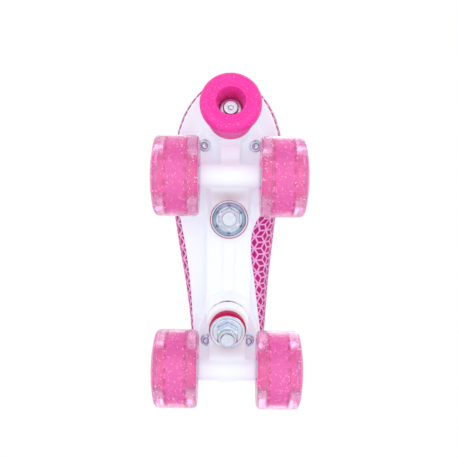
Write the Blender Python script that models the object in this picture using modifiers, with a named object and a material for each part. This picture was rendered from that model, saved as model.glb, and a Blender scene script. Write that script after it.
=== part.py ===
"""One quad roller skate for the right foot: boot, chassis, toe stop, two trucks and four wheels.

Metres, +Z up. The wheels stand on z = 0, the toe points along -Y and the arch of the foot is on +X.
The origin is at the bottom centre of the whole skate. A truck is described by `out`, the distance from
its axle towards its own end of the skate, and z.
"""

import math

import bmesh
import bpy
from mathutils import Matrix, Vector

MM = 0.001
GAP = 0.3 * MM

# Wheels and axles
WHEEL_RADIUS = 27 * MM
WHEEL_CENTRE_X = 36.2 * MM
AXLE_Y = {"front": -47.2 * MM, "rear": 87.8 * MM}
AXLE_RADIUS = 3.7 * MM
AXLE_HALF_LENGTH = 51.6 * MM
BORE_RADIUS = AXLE_RADIUS + GAP
BEARING_RADIUS = 10.9 * MM
BEARING_WIDTH = 7 * MM
INNER_BEARING_X = -10.7 * MM
OUTER_BEARING_X = 5.5 * MM
AXLE_NUT = {"flats": 12 * MM, "height": 5.8 * MM}
AXLE_NUT_X = 48.5 * MM

# Trucks, seen from their axle
HANGER_HALF_WIDTH = 20.5 * MM
HANGER_TUBE_RADIUS = 8.1 * MM
KINGPIN_OUT = -28.2 * MM
KINGPIN_Z = 21 * MM
KINGPIN_LEAN = math.radians(10)
KINGPIN_RADIUS = 4.75 * MM
KINGPIN_HOLE = KINGPIN_RADIUS + GAP
KINGPIN_NUT = {"flats": 14 * MM, "height": 9.4 * MM}
CUSHION_RADIUS = 12.2 * MM
RING_LOW, RING_HIGH = 11.8 * MM, 19.8 * MM
RING_RADIUS = 14.5 * MM
RING_HOLE = 6.2 * MM
SEAT_HEIGHT = 31.7 * MM
SEAT_RADIUS = 13.4 * MM
SEAT_WALL = {"outer": 15.2 * MM, "inner": 12.9 * MM, "low": 22.6 * MM, "high": 39 * MM}
HEAD_POCKET = 36 * MM
PIVOT_OUT = 11.5 * MM
PIVOT_Z = 54 * MM
PIVOT_RADIUS = 3.2 * MM
RING_CENTRE_OUT = -31.2 * MM
RING_CENTRE_Z = 38 * MM
STEER_SLOPE = math.atan2(PIVOT_Z - RING_CENTRE_Z, PIVOT_OUT - RING_CENTRE_OUT)

# Chassis and toe stop
PLATE_LOW, PLATE_HIGH = 58.5 * MM, 63.4 * MM
BODY_LOW = 55 * MM
RIB_LOW = 53.6 * MM
PLATE_BOLTS = [(17.8 * MM, -65.6 * MM), (15.5 * MM, 76.8 * MM)]
PLATE_BOLT_RADIUS = 2 * MM
STOP_BASE = Vector((0, -85.5 * MM, 51 * MM))
STOP_LEAN = math.radians(21)
STOP_HEIGHT = 33 * MM

# Boot
SOLE_LOW, SOLE_HIGH = 63.7 * MM, 70 * MM
WAIST_LOW = 66.2 * MM
BOOT_BASE = 70.3 * MM
TOE_TIP, TOE_CENTRE, TOE_POWER = -111.5 * MM, -56.5 * MM, 1.9
HEEL_TIP, HEEL_CENTRE, HEEL_POWER = 109.5 * MM, 78.5 * MM, 2.3
# Half widths of the sole between the round ends, as (y, outer side, arch side) in millimetres
SOLE_SIDES = [
    (-56.5, 38.5, 36.0),
    (-41.5, 39.3, 34.6),
    (-26.5, 38.3, 29.5),
    (-14.5, 36.1, 22.3),
    (-6.5, 34.6, 18.5),
    (2.5, 32.8, 16.4),
    (14.5, 30.9, 16.4),
    (30.5, 28.8, 18.8),
    (48.5, 27.1, 21.2),
    (78.5, 25.0, 25.0),
]
# Girths of the boot from toe to collar: the point on the sole or the back (y, z), the point on the
# instep (y, z), the half widths (outer side, arch side) and how far up the girth its widest place is.
# Millimetres.
BOOT_RINGS = [
    (-112.3, 70.3, -112.3, 70.3, 0.0, 0.0, 0.40),
    (-108.5, 70.3, -108.8, 86.0, 11.6, 10.9, 0.45),
    (-99.0, 70.3, -99.5, 98.0, 23.5, 22.2, 0.42),
    (-84.0, 70.3, -84.5, 105.0, 33.3, 31.5, 0.38),
    (-62.0, 70.3, -63.5, 111.5, 39.3, 37.2, 0.34),
    (-38.0, 70.3, -42.0, 121.0, 41.0, 36.6, 0.30),
    (-14.0, 70.3, -25.0, 133.0, 39.8, 34.0, 0.27),
    (14.0, 70.3, -14.0, 145.0, 36.4, 31.9, 0.27),
    (42.0, 70.3, -5.0, 155.0, 32.3, 30.2, 0.32),
    (68.0, 70.3, 1.5, 163.0, 28.9, 28.9, 0.38),
    (90.0, 70.3, 6.0, 170.0, 27.4, 27.8, 0.44),
    (104.0, 71.5, 9.0, 176.0, 27.8, 28.0, 0.47),
    (111.0, 82.0, 11.2, 181.5, 28.8, 28.8, 0.50),
    (111.8, 100.0, 13.0, 187.0, 29.8, 29.8, 0.51),
    (108.8, 125.0, 14.4, 193.0, 30.8, 30.8, 0.52),
    (106.6, 150.0, 15.4, 199.0, 31.6, 31.4, 0.52),
    (107.2, 175.0, 16.0, 204.5, 32.4, 32.2, 0.52),
    (109.0, 198.0, 16.3, 209.0, 32.8, 32.6, 0.52),
    (110.6, 213.0, 16.4, 213.0, 33.0, 33.0, 0.52),
    (111.4, 226.0, 15.0, 229.0, 33.2, 33.2, 0.52),
]
VAMP, HEEL, COLLAR = 5, 12, 18
UPPER_THICK = 1.5 * MM
LINING_THICK = 3 * MM
TONGUE_THICK = 4 * MM
EYESTAY_THICK = 1.2 * MM
LAYER_GAP = 0.8 * MM
THROAT_EDGE, LACE_REACH, EYESTAY_EDGE = 0.14, 0.22, 0.30
TONGUE_EDGE, BACKSTAY_EDGE = 0.24, 0.84
LACE_RADIUS = 1.1 * MM
# The rings and the shares of a side at which every layer of the boot has its rows, so that they nest
ROWS = [0, 0.3, 0.7, 1.2, 2, 3, 4, 5, 6, 7, 8, 9, 10, 11, 11.6, 12, 13, 14, 15, 16, 17, 18, 19]
SHARES = [0, 0.14, 0.24, 0.30, 0.46, 0.62, 0.76, 0.84, 0.93, 1]
LACE_ROWS = 6


def clear_scene():
    for obj in list(bpy.data.objects):
        bpy.data.objects.remove(obj, do_unlink=True)


def new_collection(name):
    collection = bpy.data.collections.new(name)
    bpy.context.scene.collection.children.link(collection)
    return collection


def finish(name, colour, roughness, metallic=0.0):
    """A Principled material."""
    material = bpy.data.materials.new(name)
    material.use_nodes = True
    shader = material.node_tree.nodes["Principled BSDF"]
    shader.inputs["Base Color"].default_value = (*colour, 1)
    shader.inputs["Roughness"].default_value = roughness
    shader.inputs["Metallic"].default_value = metallic
    return material


clear_scene()
SKATE = new_collection("quad_roller_skate")
CUTTERS = new_collection("cutters")
WHITE = finish("white_nylon", (0.90, 0.89, 0.93), 0.35)
SOLE_WHITE = finish("white_outsole", (0.92, 0.91, 0.94), 0.5)
STEEL = finish("zinc_plated_steel", (0.70, 0.74, 0.80), 0.28, 1.0)
BEARING_STEEL = finish("bearing_steel", (0.62, 0.62, 0.64), 0.25, 1.0)
CLEAR_PINK = finish("clear_pink_urethane", (0.95, 0.45, 0.70), 0.12)
HOT_PINK = finish("hot_pink_core", (0.95, 0.12, 0.45), 0.4)
STOP_PINK = finish("pink_rubber", (1.0, 0.06, 0.42), 0.45)
CUSHION_PINK = finish("crimson_urethane", (0.72, 0.02, 0.12), 0.35)
FABRIC = finish("magenta_fabric", (0.55, 0.03, 0.22), 0.8)
LINING_PINK = finish("pink_lining", (0.85, 0.45, 0.68), 0.9)
TRIM_WHITE = finish("white_trim", (0.90, 0.89, 0.91), 0.55)
LACE_WHITE = finish("white_lace", (0.93, 0.92, 0.94), 0.85)
BOARD = finish("insole_foam", (0.86, 0.80, 0.86), 0.9)


# --------------------------------------------------------------------------------------------------
# Making shapes


def put(name, mesh, place, material=None):
    """A new object. One with no material is a cutter or is joined to another, so it doesn't render."""
    obj = bpy.data.objects.new(name, mesh)
    obj.matrix_world = place
    if material:
        mesh.materials.clear()
        mesh.materials.append(material)
        SKATE.objects.link(obj)
    else:
        CUTTERS.objects.link(obj)
        obj.hide_render = True
        obj.display_type = "WIRE"
    return obj


def turned(name, profile, steps, place, material=None, ring=True):
    """A profile of (radius, height) points, outer side first and from top to bottom, turned about Z."""
    mesh = bpy.data.meshes.new(name)
    links = [(i, i + 1) for i in range(len(profile) - 1)]
    if ring:
        links.append((len(profile) - 1, 0))
    mesh.from_pydata([(radius, 0, height) for radius, height in profile], links, [])
    obj = put(name, mesh, place, material)
    screw = obj.modifiers.new("Turn", "SCREW")
    screw.steps = screw.render_steps = steps
    screw.use_merge_vertices = True
    screw.merge_threshold = 0.00001
    screw.use_smooth_shade = True
    return obj


def ring_profile(outer, inner, low, high, bevel=0.0):
    """A plain washer or tube section with bevelled outer edges."""
    points = [(outer - bevel, high), (outer, high - bevel), (outer, low + bevel), (outer - bevel, low)]
    if not bevel:
        points = [(outer, high), (outer, low)]
    return points + [(inner, low), (inner, high)]


def prism(name, sides, radius, low, high, place, material=None):
    """A round or many-sided bar along Z from low to high."""
    mesh = bpy.data.meshes.new(name)
    shape = bmesh.new()
    bmesh.ops.create_cone(
        shape, cap_ends=True, segments=sides, radius1=radius, radius2=radius, depth=high - low
    )
    bmesh.ops.translate(shape, vec=(0, 0, (low + high) / 2), verts=shape.verts)
    shape.to_mesh(mesh)
    shape.free()
    return put(name, mesh, place, material)


def block(name, low, high, material=None):
    """A box between two corners."""
    mesh = bpy.data.meshes.new(name)
    shape = bmesh.new()
    bmesh.ops.create_cube(shape, size=1)
    size = Vector(high) - Vector(low)
    bmesh.ops.scale(shape, vec=size, verts=shape.verts)
    bmesh.ops.translate(shape, vec=(Vector(low) + Vector(high)) / 2, verts=shape.verts)
    shape.to_mesh(mesh)
    shape.free()
    return put(name, mesh, Matrix(), material)


def evaluated_mesh(obj):
    graph = bpy.context.evaluated_depsgraph_get()
    mesh = bpy.data.meshes.new_from_object(obj.evaluated_get(graph))
    mesh.name = obj.name
    return mesh


def as_mesh(obj, material=None):
    """The curve as a mesh object of the same name, with its caps welded."""
    name, place = obj.name, obj.matrix_world.copy()
    bpy.context.view_layer.update()
    mesh = evaluated_mesh(obj)
    shape = bmesh.new()
    shape.from_mesh(mesh)
    bmesh.ops.remove_doubles(shape, verts=shape.verts, dist=0.000005)
    bmesh.ops.recalc_face_normals(shape, faces=shape.faces)
    shape.to_mesh(mesh)
    shape.free()
    bpy.data.objects.remove(obj, do_unlink=True)
    mesh.name = name
    return put(name, mesh, place, material)


def slab(name, outline, low, high, place=None, bevel=0.0, material=None):
    """A flat outline of (x, y) points, as thick as low to high along its own Z."""
    curve = bpy.data.curves.new(name, "CURVE")
    curve.dimensions = "2D"
    curve.fill_mode = "BOTH"
    curve.extrude = (high - low) / 2 - bevel
    curve.bevel_depth = bevel
    curve.bevel_resolution = 0
    curve.offset = -bevel
    spline = curve.splines.new("POLY")
    spline.points.add(len(outline) - 1)
    for point, (x, y) in zip(spline.points, outline):
        point.co = (x, y, 0, 1)
    spline.use_cyclic_u = True
    middle = Matrix.Translation((0, 0, (low + high) / 2))
    obj = put(name, curve, (place or Matrix()) @ middle)
    return as_mesh(obj, material)


def tube(name, points, radius, material=None):
    """A round rod along a list of points."""
    curve = bpy.data.curves.new(name, "CURVE")
    curve.dimensions = "3D"
    curve.bevel_depth = radius
    curve.bevel_resolution = 0
    curve.use_fill_caps = True
    spline = curve.splines.new("POLY")
    spline.points.add(len(points) - 1)
    for point, place in zip(spline.points, points):
        point.co = (*place, 1)
    return as_mesh(put(name, curve, Matrix()), material)


def boolean(obj, others, operation):
    for other in others:
        modifier = obj.modifiers.new(f"{operation.title()} {other.name}", "BOOLEAN")
        modifier.operation = operation
        modifier.object = other
        modifier.solver = "EXACT"


def bevel_edges(obj, width):
    modifier = obj.modifiers.new("Rounded edges", "BEVEL")
    modifier.width = width
    modifier.segments = 1
    modifier.limit_method = "ANGLE"
    modifier.angle_limit = math.radians(50)


def smooth(obj):
    obj.data.shade_smooth()
    obj.data.set_sharp_from_angle(angle=math.radians(35))


# --------------------------------------------------------------------------------------------------
# Places


def facing(origin, y, z):
    """A place at origin whose Z axis lies along (0, y, z)."""
    return Matrix.Translation(origin) @ Matrix.Rotation(math.atan2(-y, z), 4, "X")


def out_sign(end):
    return -1 if end == "front" else 1


def truck_point(end, out, z, x=0.0):
    return Vector((x, AXLE_Y[end] + out_sign(end) * out, z))


def kingpin_place(end):
    """Z runs up the kingpin from the underside of its lower washer."""
    lean = out_sign(end) * math.sin(KINGPIN_LEAN)
    return facing(truck_point(end, KINGPIN_OUT, KINGPIN_Z), -lean, math.cos(KINGPIN_LEAN))


def steering_place(end):
    """Z runs out and up the steering axis, from the pivot's centre."""
    pivot = truck_point(end, PIVOT_OUT, PIVOT_Z)
    return facing(pivot, out_sign(end) * math.cos(STEER_SLOPE), math.sin(STEER_SLOPE))


def stop_place():
    """Z runs down the toe stop, from its base to its face."""
    return facing(STOP_BASE, -math.sin(STOP_LEAN), -math.cos(STOP_LEAN))


def across(end, x, sign):
    """Z runs along +X or -X from a point on an axle."""
    turn = Matrix.Rotation(sign * math.pi / 2, 4, "Y")
    return Matrix.Translation(truck_point(end, 0, WHEEL_RADIUS, x)) @ turn


def side_profile(end, corners, half_width, name):
    """A solid whose outline is given as (out, z) corners, centred on x = 0."""
    sign = out_sign(end)
    outline = [(AXLE_Y[end] + sign * out * MM, z * MM) for out, z in corners]
    upright = Matrix(((0, 0, 1, 0), (1, 0, 0, 0), (0, 1, 0, 0), (0, 0, 0, 1)))
    return slab(name, outline, -half_width, half_width, upright)


# --------------------------------------------------------------------------------------------------
# Smooth outlines


def catmull(rows, t):
    """The row at place t along a list of rows, on a smooth curve through them."""
    last = len(rows) - 1
    i = min(int(t), last - 1)
    f = t - i
    a, b, c, d = (rows[min(max(k, 0), last)] for k in (i - 1, i, i + 1, i + 2))
    return [
        0.5 * (2 * q + (r - p) * f + (2 * p - 5 * q + 4 * r - s) * f**2 + (3 * q - p - 3 * r + s) * f**3)
        for p, q, r, s in zip(a, b, c, d)
    ]


def sole_half(y, side):
    """Half width of the sole at y: side 0 is the outer side, 1 the arch side."""
    if y <= TOE_CENTRE:
        reach = min((TOE_CENTRE - y) / (TOE_CENTRE - TOE_TIP), 1)
        return SOLE_SIDES[0][1 + side] * MM * (1 - reach**TOE_POWER) ** (1 / TOE_POWER)
    if y >= HEEL_CENTRE:
        reach = min((y - HEEL_CENTRE) / (HEEL_TIP - HEEL_CENTRE), 1)
        return SOLE_SIDES[-1][1 + side] * MM * (1 - reach**HEEL_POWER) ** (1 / HEEL_POWER)
    stations = [row[0] * MM for row in SOLE_SIDES]
    i = max(k for k, station in enumerate(stations) if station <= y)
    i = min(i, len(stations) - 2)
    f = (y - stations[i]) / (stations[i + 1] - stations[i])
    return catmull([row[1:] for row in SOLE_SIDES], i + f)[side] * MM


def sole_outline(steps, inset=0.0):
    """The sole's outline, with its points closer together at the round ends."""
    middle, half = (TOE_TIP + HEEL_TIP) / 2, (HEEL_TIP - TOE_TIP) / 2
    points = []
    for i in range(steps):
        turn = 2 * math.pi * i / steps
        y = middle - half * math.cos(turn)
        side = 0 if math.sin(turn) > 0 else 1
        x = sole_half(y, side)
        shrunk = middle + (y - middle) * (1 - inset / half)
        points.append((max(x - inset, 0) * (-1 if side == 0 else 1), shrunk))
    return points


# --------------------------------------------------------------------------------------------------
# Wheels


def tyre_profile():
    """Radius and place across the wheel. Its outer side is +Z and its bore is stepped round the hub."""
    return [
        (point[0] * MM, point[1] * MM)
        for point in (
            (16.2, 15.4), (20, 14.9), (22.5, 14.4), (25, 13.4), (26.5, 12.6), (27, 11.4), (27, -13.8),
            (25, -15.8), (14.1, -15.8), (14.1, -8.7), (17.8, -8.7), (17.8, 7.3), (14.8, 7.3), (14.8, 14.9),
        )
    ]


def hub_profile():
    return [
        (point[0] * MM, point[1] * MM)
        for point in (
            (14.5, 10.5), (14.5, 7), (17.5, 7), (17.5, -8.4), (13.8, -8.4), (13.8, -15.5),
            (11.2, -15.5), (11.2, -6.9), (6.5, -6.9), (6.5, 1.7), (11.2, 1.7), (11.2, 10.5),
        )
    ]


def make_wheel(end, side):
    """One wheel's tyre, hub and two bearings, on an empty at the wheel's centre."""
    sign = 1 if side == "left" else -1
    label = f"{end}_{side}"
    centre = across(end, sign * WHEEL_CENTRE_X, sign)
    spin = bpy.data.objects.new(f"{label}_wheel_centre", None)
    spin.matrix_world = centre
    SKATE.objects.link(spin)
    half = BEARING_WIDTH / 2
    pieces = [
        turned(f"{label}_tyre", tyre_profile(), 24, centre, CLEAR_PINK),
        turned(f"{label}_hub", hub_profile(), 16, centre, HOT_PINK),
    ]
    for where, middle in (("inner", INNER_BEARING_X), ("outer", OUTER_BEARING_X)):
        profile = ring_profile(BEARING_RADIUS, BORE_RADIUS, middle - half, middle + half, 0.4 * MM)
        pieces.append(turned(f"{label}_{where}_bearing", profile, 14, centre, BEARING_STEEL))
    for piece in pieces:
        attach(piece, spin)
    return spin


def attach(child, parent):
    """Parents without moving the child."""
    child.parent = parent
    child.matrix_parent_inverse = parent.matrix_world.inverted()


# --------------------------------------------------------------------------------------------------
# Fasteners


def nut(name, flats, height, hole, place, material):
    """A hexagon nut from z = 0 up, with its own hole."""
    body = prism(name, 6, flats / math.sqrt(3), 0, height, place, material)
    bore = prism(f"{name}_bore", 16, hole, -MM, height + MM, place)
    boolean(body, [bore], "DIFFERENCE")
    return body


def make_axle(end):
    reach = AXLE_HALF_LENGTH
    profile = [
        (0, reach), (AXLE_RADIUS - 0.5 * MM, reach), (AXLE_RADIUS, reach - 0.5 * MM),
        (AXLE_RADIUS, 0.5 * MM - reach), (AXLE_RADIUS - 0.5 * MM, -reach), (0, -reach),
    ]
    return turned(f"{end}_axle", profile, 16, across(end, 0, 1), STEEL, ring=False)


def make_axle_nut(end, side):
    sign = 1 if side == "left" else -1
    inner = AXLE_NUT_X - AXLE_NUT["height"] / 2
    place = across(end, sign * inner, sign)
    return nut(f"{end}_{side}_axle_nut", AXLE_NUT["flats"], AXLE_NUT["height"], BORE_RADIUS, place, STEEL)


def make_plate_bolt(end, side):
    """A flat-headed bolt let into the top of the sole, and its nut under the chassis."""
    x, y = PLATE_BOLTS[0 if end == "front" else 1]
    x = x if side == "left" else -x
    label = f"{end}_{side}_plate"
    r = PLATE_BOLT_RADIUS
    head_low, head_high, tip = 68.2 * MM, 69.7 * MM, 53.8 * MM
    profile = [(0, head_high), (5 * MM, head_high), (5 * MM, head_low), (r, head_low), (r, tip), (0, tip)]
    place = Matrix.Translation((x, y, 0))
    turned(f"{label}_bolt", profile, 12, place, STEEL, ring=False)
    height, flats = 3.6 * MM, 7 * MM
    under = Matrix.Translation((x, y, PLATE_LOW - GAP - height))
    flanged = prism(f"{label}_nut", 6, flats / math.sqrt(3), 0, height, under, STEEL)
    flange = prism(f"{label}_flange", 16, 4.4 * MM, height - MM, height, under)
    bore = prism(f"{label}_nut_bore", 16, r + GAP, -MM, height + MM, under)
    boolean(flanged, [flange], "UNION")
    boolean(flanged, [bore], "DIFFERENCE")


# --------------------------------------------------------------------------------------------------
# Trucks


def make_hanger(end):
    """The tube on the axle, the arm and ring round the kingpin, and the pivot pin: one moulding."""
    half, radius = HANGER_HALF_WIDTH, HANGER_TUBE_RADIUS
    shoulder, tip = 5.5 * MM, 21.7 * MM
    profile = [
        (0, tip), (shoulder, tip), (shoulder, half), (radius - MM, half), (radius, half - MM),
        (radius, MM - half), (radius - MM, -half), (shoulder, -half), (shoulder, -tip), (0, -tip),
    ]
    hanger = turned(f"{end}_hanger", profile, 18, across(end, 0, 1), WHITE, ring=False)
    arm_corners = [
        (-16.5, 35.2), (-10, 25), (-2, 20), (4, 27), (0, 35.5),
        (-8, 40.5), (-16, 42.9), (-24, 41.3), (-24, 33.9),
    ]
    arm = side_profile(end, arm_corners, 13 * MM, f"{end}_arm")
    web_corners = [
        (-20, 36), (-9, 44.5), (4, 51.2), (7.2, 51.4), (8.6, 43.2), (10.4, 42.9), (10.4, 40.5), (6, 31),
        (-6, 30),
    ]
    web = side_profile(end, web_corners, 7 * MM, f"{end}_web")
    ring = prism(f"{end}_ring", 20, RING_RADIUS, RING_LOW, RING_HIGH, kingpin_place(end))
    pin_profile = [
        (PIVOT_RADIUS * math.cos(angle), PIVOT_RADIUS * math.sin(angle))
        for angle in (math.pi / 2, math.pi / 3, math.pi / 6, 0)
    ]
    pin_profile += [(PIVOT_RADIUS, -12 * MM), (0, -12 * MM)]
    pin_profile[0] = (0, PIVOT_RADIUS)
    pin = turned(f"{end}_pin", pin_profile, 16, steering_place(end), ring=False)
    low, high = RING_LOW - 8 * MM, RING_HIGH + 8 * MM
    hole = prism(f"{end}_ring_hole", 14, RING_HOLE, low, high, kingpin_place(end))
    bore = prism(f"{end}_axle_bore", 16, BORE_RADIUS, -30 * MM, 30 * MM, across(end, 0, 1))
    boolean(hanger, [arm, web, ring, pin], "UNION")
    boolean(hanger, [hole, bore], "DIFFERENCE")
    return hanger


def make_kingpin(end):
    place = kingpin_place(end)
    r, head, tip = KINGPIN_RADIUS, 7.4 * MM, -10.8 * MM
    head_low, head_high = HEAD_POCKET + GAP, HEAD_POCKET + GAP + 4 * MM
    profile = [
        (0, head_high), (head, head_high), (head, head_low), (r, head_low),
        (r, tip + 0.8 * MM), (r - 0.8 * MM, tip), (0, tip),
    ]
    turned(f"{end}_kingpin", profile, 18, place, STEEL, ring=False)
    below = place @ Matrix.Translation((0, 0, -GAP - KINGPIN_NUT["height"]))
    nut(f"{end}_kingpin_nut", KINGPIN_NUT["flats"], KINGPIN_NUT["height"], KINGPIN_HOLE, below, STEEL)


def make_washers(end):
    """The front truck's lower washer is dished and the rear one's is flat; the upper ones are alike."""
    place = kingpin_place(end)
    hole = KINGPIN_HOLE
    if end == "front":
        lower = [
            (8.2 * MM, 1.8 * MM), (12.2 * MM, -1.2 * MM), (12.2 * MM, -2.6 * MM),
            (8.6 * MM, 0), (hole, 0), (hole, 1.8 * MM),
        ]
    else:
        lower = ring_profile(CUSHION_RADIUS, hole, 0, 1.8 * MM, 0.4 * MM)
    turned(f"{end}_lower_washer", lower, 18, place, STEEL)
    upper = ring_profile(11.5 * MM, hole, SEAT_HEIGHT - 1.6 * MM, SEAT_HEIGHT - GAP)
    turned(f"{end}_upper_washer", upper, 16, place, STEEL)


def make_cushions(end):
    place = kingpin_place(end)
    for where, low, high, near, far in (
        ("lower", 2.1 * MM, RING_LOW - GAP, 11.6 * MM, CUSHION_RADIUS),
        ("upper", RING_HIGH + GAP, SEAT_HEIGHT - 1.9 * MM, CUSHION_RADIUS, 11 * MM),
    ):
        belly = (low + high) / 2
        profile = [
            (far, high), ((near + far) / 2 + 0.5 * MM, belly), (near, low),
            (KINGPIN_HOLE, low), (KINGPIN_HOLE, high),
        ]
        turned(f"{end}_{where}_cushion", profile, 16, place, CUSHION_PINK)


def make_pivot_cup(end):
    """A soft cup in the chassis that holds the hanger's pivot pin."""
    outer, inner, low, high = 4.7 * MM, PIVOT_RADIUS + 0.35 * MM, -4 * MM, 4.7 * MM
    profile = [(0, high), (outer, high), (outer, low), (inner, low), (inner, 2.2 * MM), (0, 3.8 * MM)]
    turned(f"{end}_pivot_cup", profile, 16, steering_place(end), CUSHION_PINK, ring=False)


def make_truck(end):
    """Everything that tilts is on an empty at the pivot, whose Z is the steering axis."""
    steer = bpy.data.objects.new(f"{end}_steering_axis", None)
    steer.matrix_world = steering_place(end)
    SKATE.objects.link(steer)
    moving = [make_hanger(end), make_axle(end)]
    for side in ("left", "right"):
        moving.append(make_axle_nut(end, side))
        moving.append(make_wheel(end, side))
    for piece in moving:
        attach(piece, steer)
    make_kingpin(end)
    make_washers(end)
    make_cushions(end)
    make_pivot_cup(end)


# --------------------------------------------------------------------------------------------------
# Chassis and toe stop


def plate_outline():
    """Half of the chassis as (y, half width), mirrored to the other side, on a smooth curve."""
    rows = [
        (-101, 9), (-95, 14.5), (-88, 18), (-79, 20), (-73, 23.2), (-66, 24.2), (-59, 23.6), (-51, 21),
        (-34, 18), (-12, 16.4), (20, 16), (50, 16.4), (62, 19), (70, 21.8), (80, 22.2), (90, 20.8),
        (99, 15),
    ]
    steps = 26
    half = []
    for i in range(steps + 1):
        y, x = catmull(rows, (len(rows) - 1) * i / steps)
        half.append((x * MM, y * MM))
    return half + [(-x, y) for x, y in reversed(half)]


def seat_wall(end):
    """Half a collar round the upper cushion, on the side away from the axle."""
    size = SEAT_WALL
    profile = ring_profile(size["outer"], size["inner"], size["low"], size["high"])
    wall = turned(f"{end}_seat_wall", profile, 24, kingpin_place(end))
    near, far = (truck_point(end, out * MM, 0).y for out in (-33, 0))
    low, high = (-20 * MM, min(near, far), 30 * MM), (20 * MM, max(near, far), 70 * MM)
    boolean(wall, [block(f"{end}_seat_wall_cut", low, high)], "DIFFERENCE")
    return wall


def make_plate():
    """One moulding: a flat slab, a deeper body with a centre rib, seats, pivot housings and a nose."""
    plate = slab("plate", plate_outline(), PLATE_LOW, PLATE_HIGH, material=WHITE)
    body = block("plate_body", (-16 * MM, -24 * MM, BODY_LOW), (16 * MM, 60 * MM, PLATE_LOW + 2 * MM))
    bevel_edges(body, 1.6 * MM)
    rib = block("plate_rib", (-4 * MM, -12 * MM, RIB_LOW), (4 * MM, 50 * MM, BODY_LOW + 2 * MM))
    bevel_edges(rib, 0.8 * MM)
    nose = prism("plate_nose", 20, 15.6 * MM, -30 * MM, -GAP, stop_place())
    joined, cut = [body, rib, nose], []
    housing = {
        "front": [(9.4, 44.4), (9.4, 60), (26, 60), (26, 53), (19, 46.5)],
        "rear": [(9.4, 45), (9.4, 60), (19, 60), (19, 50), (16, 46.6)],
    }
    for end in ("front", "rear"):
        place = kingpin_place(end)
        joined.append(prism(f"{end}_seat", 18, SEAT_RADIUS, SEAT_HEIGHT, SEAT_HEIGHT + 8 * MM, place))
        joined.append(seat_wall(end))
        joined.append(side_profile(end, housing[end], 7.2 * MM, f"{end}_housing"))
        low = SEAT_HEIGHT - 2 * MM
        cut.append(prism(f"{end}_kingpin_hole", 16, KINGPIN_HOLE, low, 60 * MM, place))
        cut.append(prism(f"{end}_head_pocket", 18, 8 * MM, HEAD_POCKET, 60 * MM, place))
        cut.append(prism(f"{end}_cup_socket", 16, 5 * MM, -12 * MM, 5 * MM, steering_place(end)))
    for x, y in PLATE_BOLTS:
        for sign in (-1, 1):
            place = Matrix.Translation((sign * x, y, 0))
            hole = PLATE_BOLT_RADIUS + GAP
            cut.append(prism(f"bolt_hole_{len(cut)}", 12, hole, 50 * MM, 70 * MM, place))
    cut.append(prism("stop_bolt_hole", 16, 3.5 * MM, -9 * MM, 5 * MM, stop_place()))
    above = block("above_plate", (-40 * MM, -130 * MM, PLATE_HIGH), (40 * MM, 130 * MM, 100 * MM))
    boolean(plate, joined, "UNION")
    boolean(plate, [above] + cut, "DIFFERENCE")
    return plate


def make_toe_stop():
    """A rubber stop that widens to a rounded rim, with a deep conical recess for its bolt."""
    place = stop_place()
    height, rim_radius, round_radius = STOP_HEIGHT, 20.8 * MM, 7 * MM
    centre_r, centre_z = rim_radius - round_radius, height - round_radius
    rim = [
        (centre_r + round_radius * math.sin(a), centre_z + round_radius * math.cos(a))
        for a in (0, 0.45, 0.95, 1.6)
    ]
    profile = [(9.7 * MM, height)] + rim + [
        (16.2 * MM, 7 * MM), (16 * MM, 0), (3.6 * MM, 0), (3.6 * MM, 14.5 * MM), (8.2 * MM, 14.5 * MM)
    ]
    turned("toe_stop", profile, 24, place, STOP_PINK)
    turned(
        "toe_stop_washer",
        ring_profile(7.3 * MM, 3.5 * MM, 14.8 * MM, 16.2 * MM),
        20, place, STEEL,
    )
    bolt = [
        (0, 20.2 * MM), (4.2 * MM, 20.2 * MM), (5.2 * MM, 19.2 * MM), (5.2 * MM, 16.5 * MM),
        (3.1 * MM, 16.5 * MM), (3.1 * MM, -8.5 * MM), (0, -8.5 * MM),
    ]
    head = turned("toe_stop_bolt", bolt, 18, place, STEEL, ring=False)
    socket = prism("toe_stop_bolt_socket", 6, 1.7 * MM, 18 * MM, 22 * MM, place)
    boolean(head, [socket], "DIFFERENCE")


# --------------------------------------------------------------------------------------------------
# Boot


def make_outsole():
    """The sole, thinner under the waist so that the heel has a step, with places for the plate bolts."""
    sole = slab("outsole", sole_outline(48), SOLE_LOW, SOLE_HIGH, bevel=0.8 * MM, material=SOLE_WHITE)
    waist = block("waist", (-60 * MM, -14 * MM, 60 * MM), (60 * MM, 58 * MM, WAIST_LOW))
    cut = [waist]
    for x, y in PLATE_BOLTS:
        for sign in (-1, 1):
            place = Matrix.Translation((sign * x, y, 0))
            cut.append(prism(f"sole_hole_{len(cut)}", 12, PLATE_BOLT_RADIUS + GAP, 60 * MM, 75 * MM, place))
            cut.append(prism(f"sole_pocket_{len(cut)}", 12, 5.4 * MM, 67.8 * MM, 75 * MM, place))
    boolean(sole, cut, "DIFFERENCE")
    return sole


def boot_point(u, v):
    """A point on the outside of the boot. u counts rings from the toe; v runs from -1 at the outer side's
    lower edge, over the instep at 0, to 1 at the arch side's lower edge."""
    by, bz, ty, tz, outer, arch, girth = catmull(BOOT_RINGS, u)
    side = 1 if v > 0 else 0
    width = (arch if side else outer) * MM
    foot = min(max(sole_half(by * MM, side) - 1.2 * MM, 0), width) if u < HEEL else 0
    share = 0.22 + 0.5 * girth
    down = 1 - abs(v)
    if down < share:
        turn = math.pi / 2 * down / share
        x, height = foot + (width - foot) * math.sin(turn), girth * (1 - math.cos(turn))
    else:
        turn = math.pi / 2 * (down - share) / (1 - share)
        x = width * max(math.cos(turn), 0) ** 0.94
        height = girth + (1 - girth) * math.sin(turn) ** 0.94
    sign = 1 if side else -1
    return Vector((sign * x, (by + (ty - by) * height) * MM, (bz + (tz - bz) * height) * MM))


def spread(low, high, steps):
    return [low + (high - low) * i / steps for i in range(steps + 1)]


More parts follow.
